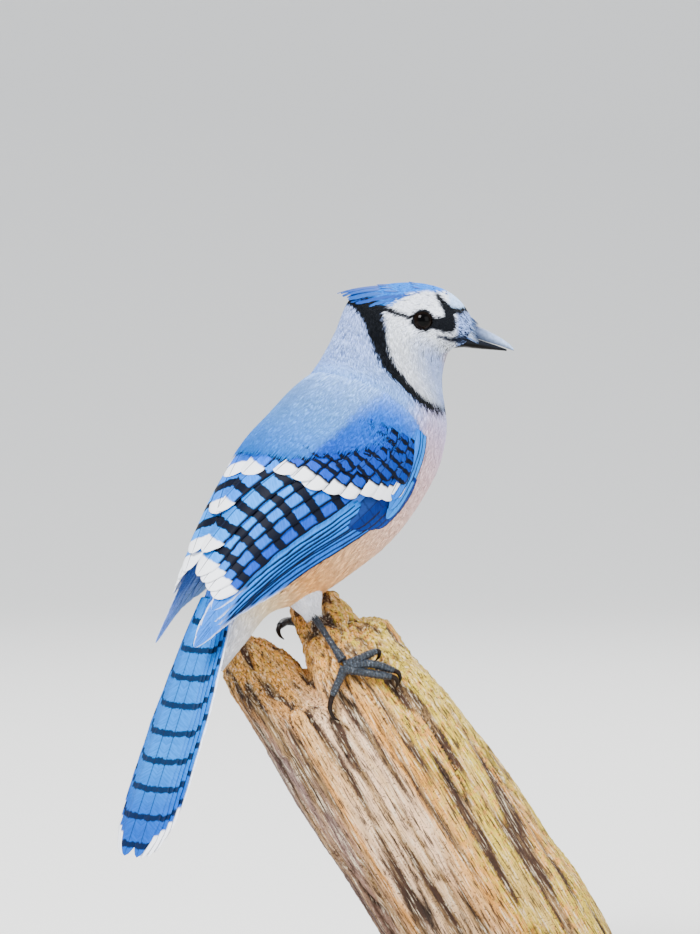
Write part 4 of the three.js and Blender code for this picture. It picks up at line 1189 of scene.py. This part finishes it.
LEFT_TOES = [
    ([(-48, 15, 152), (-53.5, 12.4, 152.4), (-56.2, 7, 151)],
     [(-56.8, 4, 149.4), (-56, 1.6, 147.4), (-54.4, 0.6, 146)]),
    ([(-48, 15, 152), (-42, 15.6, 154), (-36.5, 13.6, 155)],
     [(-34.6, 13.4, 154.6), (-33.6, 12.6, 152.6), (-33.8, 11.6, 151)]),
    ([(-48, 15, 152), (-40, 17.6, 149.4), (-32, 17, 147)],
     [(-29.8, 17, 146), (-28.8, 16.2, 143.8), (-29.2, 15.2, 142)]),
    ([(-48, 15.4, 151.6), (-41.5, 18.4, 145.4), (-35.5, 18.8, 141)],
     [(-34, 19, 139.6), (-33, 18.4, 137.4), (-33.2, 17.6, 135.6)])]

for side, leg, toes in (("right", RIGHT_LEG, RIGHT_TOES), ("left", LEFT_LEG, LEFT_TOES)):
    top, bottom = limb_point(*leg["ankle"]), limb_point(*leg["foot"])
    start = top + (top - bottom) * 0.12
    bone = [start, (top + bottom) / 2, bottom]
    shank, place = tube_rings(bone, [1.6, 1.3, 1.2, 1.3, 1.9], 120, 20, 0.14, 2.1)
    finish_piece(tube_piece("shank_" + side, [shank], SCUTE, scute_tint(place, "2c3644", "020305")),
                 "leg_scales", "tarsus_" + side)
    parts, tints, claws = [], [], []
    for bones, claw in toes:
        run = [limb_point(*p) for p in bones]
        digit, place = tube_rings(run, [2.0, 1.65, 1.45, 1.5, 1.2], 110, TOE_SIDES, 0.2, 1.35)
        parts.append(digit)
        tints.append(scute_tint(place, "38434f", "010203"))
        horn = [run[-1]] + [limb_point(*p) for p in claw]
        claws.append(tube_rings(horn, [1.12, 1.0, 0.65, 0.2], CLAW_RINGS, TOE_SIDES)[0])
    finish_piece(tube_piece("toes_" + side, parts, SCUTE, np.concatenate(tints)),
                 "leg_scales", "foot_" + side)
    claw_tint = np.broadcast_to(hexed("1c130e"), (len(claws) * (CLAW_RINGS * TOE_SIDES + 2), 3))
    finish_piece(tube_piece("claws_" + side, claws, HORN, claw_tint), "leg_scales")


# The limb
# height, left, right, near and far edges of each slice
TRUNK = [[LIMB_BOTTOM, -13.4, 79, -23, 24], [50, -29.6, 64.4, -23.5, 24], [66, -40.5, 52, -24, 23.5],
         [84, -51.5, 40.5, -24, 23], [104, -62.5, 26.5, -24, 23], [118, -69, 14, -22, 20],
         [123, -66, 8, -16, 15]]
LEFT_PRONG = [[100, -60, -34, -20, 18], [118, -71.4, -36, -19.5, 17], [128, -77.8, -42, -15.5, 16],
              [136, -79, -48.6, -12, 14], [142, -79, -56, -10, 12], [147, -76, -65, -8, 9]]
MIDDLE_PRONG = [[96, -46, -4, -24.5, 20], [114, -39, -2, -24, 20], [126, -42, -8, -23, 19],
                [137, -45.4, -14, -21, 17], [147, -48.6, -20, -15, 13.5], [156, -52.2, -25.8, -7.5, 10.5],
                [161, -52.6, -30, -4, 8.5]]
SPIKE = [[150, -46, -27, -5, 8], [161, -42, -31, -2.5, 6], [166, -39, -34, -0.5, 4]]
RIGHT_PRONG = [[96, -20, 31, -22.5, 21], [114, -22, 18.6, -21, 20], [126, -24, 9.4, -19.5, 19],
               [136, -25, 0.8, -17, 18], [146, -25, -7, -12, 15], [154, -24.8, -12.6, -8, 12]]


def prong_rings(slices):
    """Rings with softly squared corners."""
    turn = np.linspace(0, 2 * np.pi, 72, endpoint=False)
    x, y = (np.sign(v) * np.abs(v) ** 0.62 for v in (np.cos(turn), np.sin(turn)))
    rings = []
    for up, left, right, near, far in between(slices, np.linspace(0, len(slices) - 1, 50)):
        rings.append(limb_point((left + right) / 2 + (right - left) / 2 * x,
                                (near + far) / 2 + (far - near) / 2 * y, up))
    return np.array(rings)


def read_points(mesh, what):
    values = np.empty(len(mesh.vertices) * 3, np.float32)
    mesh.vertices.foreach_get(what, values)
    return values.reshape(-1, 3)


prongs = [prong_rings(s) for s in (TRUNK, LEFT_PRONG, MIDDLE_PRONG, SPIKE, RIGHT_PRONG)]
limb = tube_piece("limb", prongs, WOOD)
select_only(limb)
remesh = limb.modifiers.new("one_body", "REMESH")
remesh.mode = "VOXEL"
remesh.voxel_size = 0.95 * MM
bpy.ops.object.modifier_apply(modifier=remesh.name)
limb.select_set(False)

mesh = limb.data
co = read_points(mesh, "co").astype(float)
normal = read_points(mesh, "normal")
own = co / MM - [0, MIDLINE_Y, 0]
height = own[:, 2]
# each point's measure across the limb, through it and along it
ways = [unit(limb_point(*way) - limb_point(0, 0, 0))
        for way in ((0.857, 0, 0.515), (0, 1, 0), (-0.515, 0, 0.857))]
measure = np.stack([own @ way for way in ways], -1)
across = measure[:, 0]


def limb_noise(scale_across, scale_along, seed):
    return np.array([noise.noise(Vector((x * scale_across + seed, y * scale_across, z * scale_along)))
                     for x, y, z in measure])


coarse = limb_noise(0.09, 0.012, 3.1)
grooves = limb_noise(0.26, 0.016, 9.7)
fine = limb_noise(0.8, 0.05, 21.3)
crumbs = limb_noise(0.9, 0.5, 33.0)
# long drying cracks run where this noise crosses zero
crack = np.exp(-(limb_noise(0.12, 0.009, 51.0) / 0.035) ** 2)
crack = crack * smooth(limb_noise(0.05, 0.02, 77.0), -0.1, 0.1)
top_share = smooth(height, 112, 150)
push = 1.3 * coarse + 2.0 * np.minimum(grooves, 0.12) + 0.6 * fine + (0.25 + 0.7 * top_share) * crumbs
push -= 2.2 * crack + 0.4
keep_flat = smooth(height, LIMB_BOTTOM + 0.5, LIMB_BOTTOM + 4)
co += normal * (push * keep_flat * MM)[:, None]
mesh.vertices.foreach_set("co", co.astype(np.float32).ravel())
mesh.update()
# golden wood that silvers to violet on one side and pinkish in a band, lichen, and dark grooves and cracks
# where the surface is pushed in, which is painted shade
tint = np.broadcast_to(hexed("df983c"), (len(co), 3))
for shade, share in (
        ("65565a", 0.9 * smooth(across + 14 * coarse, 34, 14) * smooth(height, 134, 96)),
        ("ecd0b4", 0.62 * smooth(np.abs(across - 42 + 18 * coarse), 13, 5) * smooth(height, 138, 112)),
        ("cbb62e", 0.8 * smooth(across + 10 * crumbs, 58, 70) * smooth(coarse + crumbs, -0.35, 0.1)),
        ("cbb62e", 0.5 * top_share * smooth(crumbs, 0.1, 0.4)),
        # the grooves and cracks, pushed in above, are darkened as painted shade
        ("3a200c", smooth(grooves, -0.05, -0.3)), ("1c0f06", np.clip(crack, 0, 1))):
    tint = blend(tint, hexed(shade), share)
paint(mesh, "tint", np.clip(tint * (1 + 0.35 * fine[:, None]), 0, 1))
layer = mesh.attributes.new("grain", "FLOAT_VECTOR", "POINT")
layer.data.foreach_set("vector", (measure * [0.1, 0.1, 0.007]).astype(np.float32).ravel())
mesh.polygons.foreach_set("use_smooth", np.full(len(mesh.polygons), True))
finish_piece(limb, "weathered_wood", "perch")


# The stand
def turned(name, radius, height, centre, bevel, segments):
    """A turned round piece with softened edges."""
    bpy.ops.object.select_all(action="DESELECT")
    bpy.ops.mesh.primitive_cylinder_add(vertices=segments, radius=radius * MM, depth=height * MM,
                                        location=to_row(centre))
    made = bpy.context.object
    made.name = name
    bpy.ops.object.transform_apply(location=True, rotation=True, scale=True)
    soft = made.modifiers.new("soft_edge", "BEVEL")
    soft.width = bevel * MM
    soft.segments = 4
    soft.limit_method = "ANGLE"
    bpy.ops.object.modifier_apply(modifier=soft.name)
    bpy.ops.object.shade_smooth_by_angle(angle=math.radians(35))
    return made


base = turned("turned_base", PLINTH_RADIUS, PLINTH_HEIGHT, (0, -MIDLINE_Y, PLINTH_HEIGHT / 2), 1.5, 128)
base.data.materials.append(STAINED)
finish_piece(base, "stained_wood", "stand_base")
for name, across in (("front", 54), ("rear", 4)):
    place = limb_point(across, 0, (PLINTH_HEIGHT + LIMB_BOTTOM) / 2)
    rod = turned("rod_" + name, ROD_RADIUS, LIMB_BOTTOM - PLINTH_HEIGHT, place, 0.3, 40)
    rod.data.materials.append(STEEL)
    finish_piece(rod, "steel", "stand_rod_" + name)


# Floor, camera and lights
CAMERA_DISTANCE, CAMERA_LIFT = 3000.0, 3.0
# the photo's pixel that shows the origin, which lies below its lower edge
ORIGIN_PIXEL = (420, 1005)
FLOOR_REACH, FLOOR_BEND, WALL_BEND_AT, FLOOR_DROP = 6000.0, 1500.0, 2200.0, 0.05
rig_turn = math.radians(LIMB_TURN)
right = np.array([math.cos(rig_turn), math.sin(rig_turn), 0])
level = np.array([-math.sin(rig_turn), math.cos(rig_turn), 0])
high = np.array([0, 0, 1.0])

# paper that bends up into a wall far behind the object
profile = [(-FLOOR_REACH, 0.0)]
profile += [(WALL_BEND_AT + FLOOR_BEND * math.sin(a), FLOOR_BEND * (1 - math.cos(a)))
            for a in np.linspace(0, np.pi / 2, 24)]
profile += [(WALL_BEND_AT + FLOOR_BEND, FLOOR_REACH)]
paper = np.array([right * x + level * y + high * (z - FLOOR_DROP)
                  for y, z in profile for x in (-FLOOR_REACH, FLOOR_REACH)])
floor = build("floor", paper - [0, MIDLINE_Y, 0], grid_faces(len(profile), 2, False), floor_material())
floor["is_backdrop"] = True

lift = math.radians(CAMERA_LIFT)
ahead = level * math.cos(lift) - high * math.sin(lift)
aim = right * (PHOTO_SIZE[0] / 2 - ORIGIN_PIXEL[0]) * PHOTO_PX
aim = aim + high * (ORIGIN_PIXEL[1] - PHOTO_SIZE[1] / 2) * PHOTO_PX
camera_data = bpy.data.cameras.new("camera")
camera_data.sensor_width = 36
camera_data.lens = camera_data.sensor_width * CAMERA_DISTANCE / (PHOTO_SIZE[1] * PHOTO_PX)
camera_data.clip_end = 50
camera = bpy.data.objects.new("camera", camera_data)
bpy.context.scene.collection.objects.link(camera)
camera.location = (aim - ahead * CAMERA_DISTANCE) * MM
camera.rotation_euler = Vector(ahead).to_track_quat("-Z", "Y").to_euler()
bpy.context.scene.camera = camera


def soft_light(name, place, size, watts):
    """A square soft light, placed right, ahead and up from the object as the camera sees it."""
    lamp = bpy.data.lights.new(name, "AREA")
    lamp.size = size
    lamp.energy = watts
    spot = bpy.data.objects.new(name, lamp)
    spot.location = right * place[0] + level * place[1] + high * place[2]
    spot.rotation_euler = (Vector((0, 0, 0.2)) - spot.location).to_track_quat("-Z", "Y").to_euler()
    bpy.context.scene.collection.objects.link(spot)


soft_light("key", (-0.8, -1.3, 1.8), 0.9, 124)
soft_light("fill", (1.5, -1.2, 0.9), 1.5, 25)
soft_light("back", (0.3, 1.4, 1.8), 1.2, 58)
world = bpy.data.worlds.new("studio")
world.use_nodes = True
world.node_tree.nodes["Background"].inputs[0].default_value = (*hexed("e8f0ff"), 1)
world.node_tree.nodes["Background"].inputs[1].default_value = 0.82
bpy.context.scene.world = world

[[[float(x) for x in corner] for corner in b] for b in (cad_box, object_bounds())]
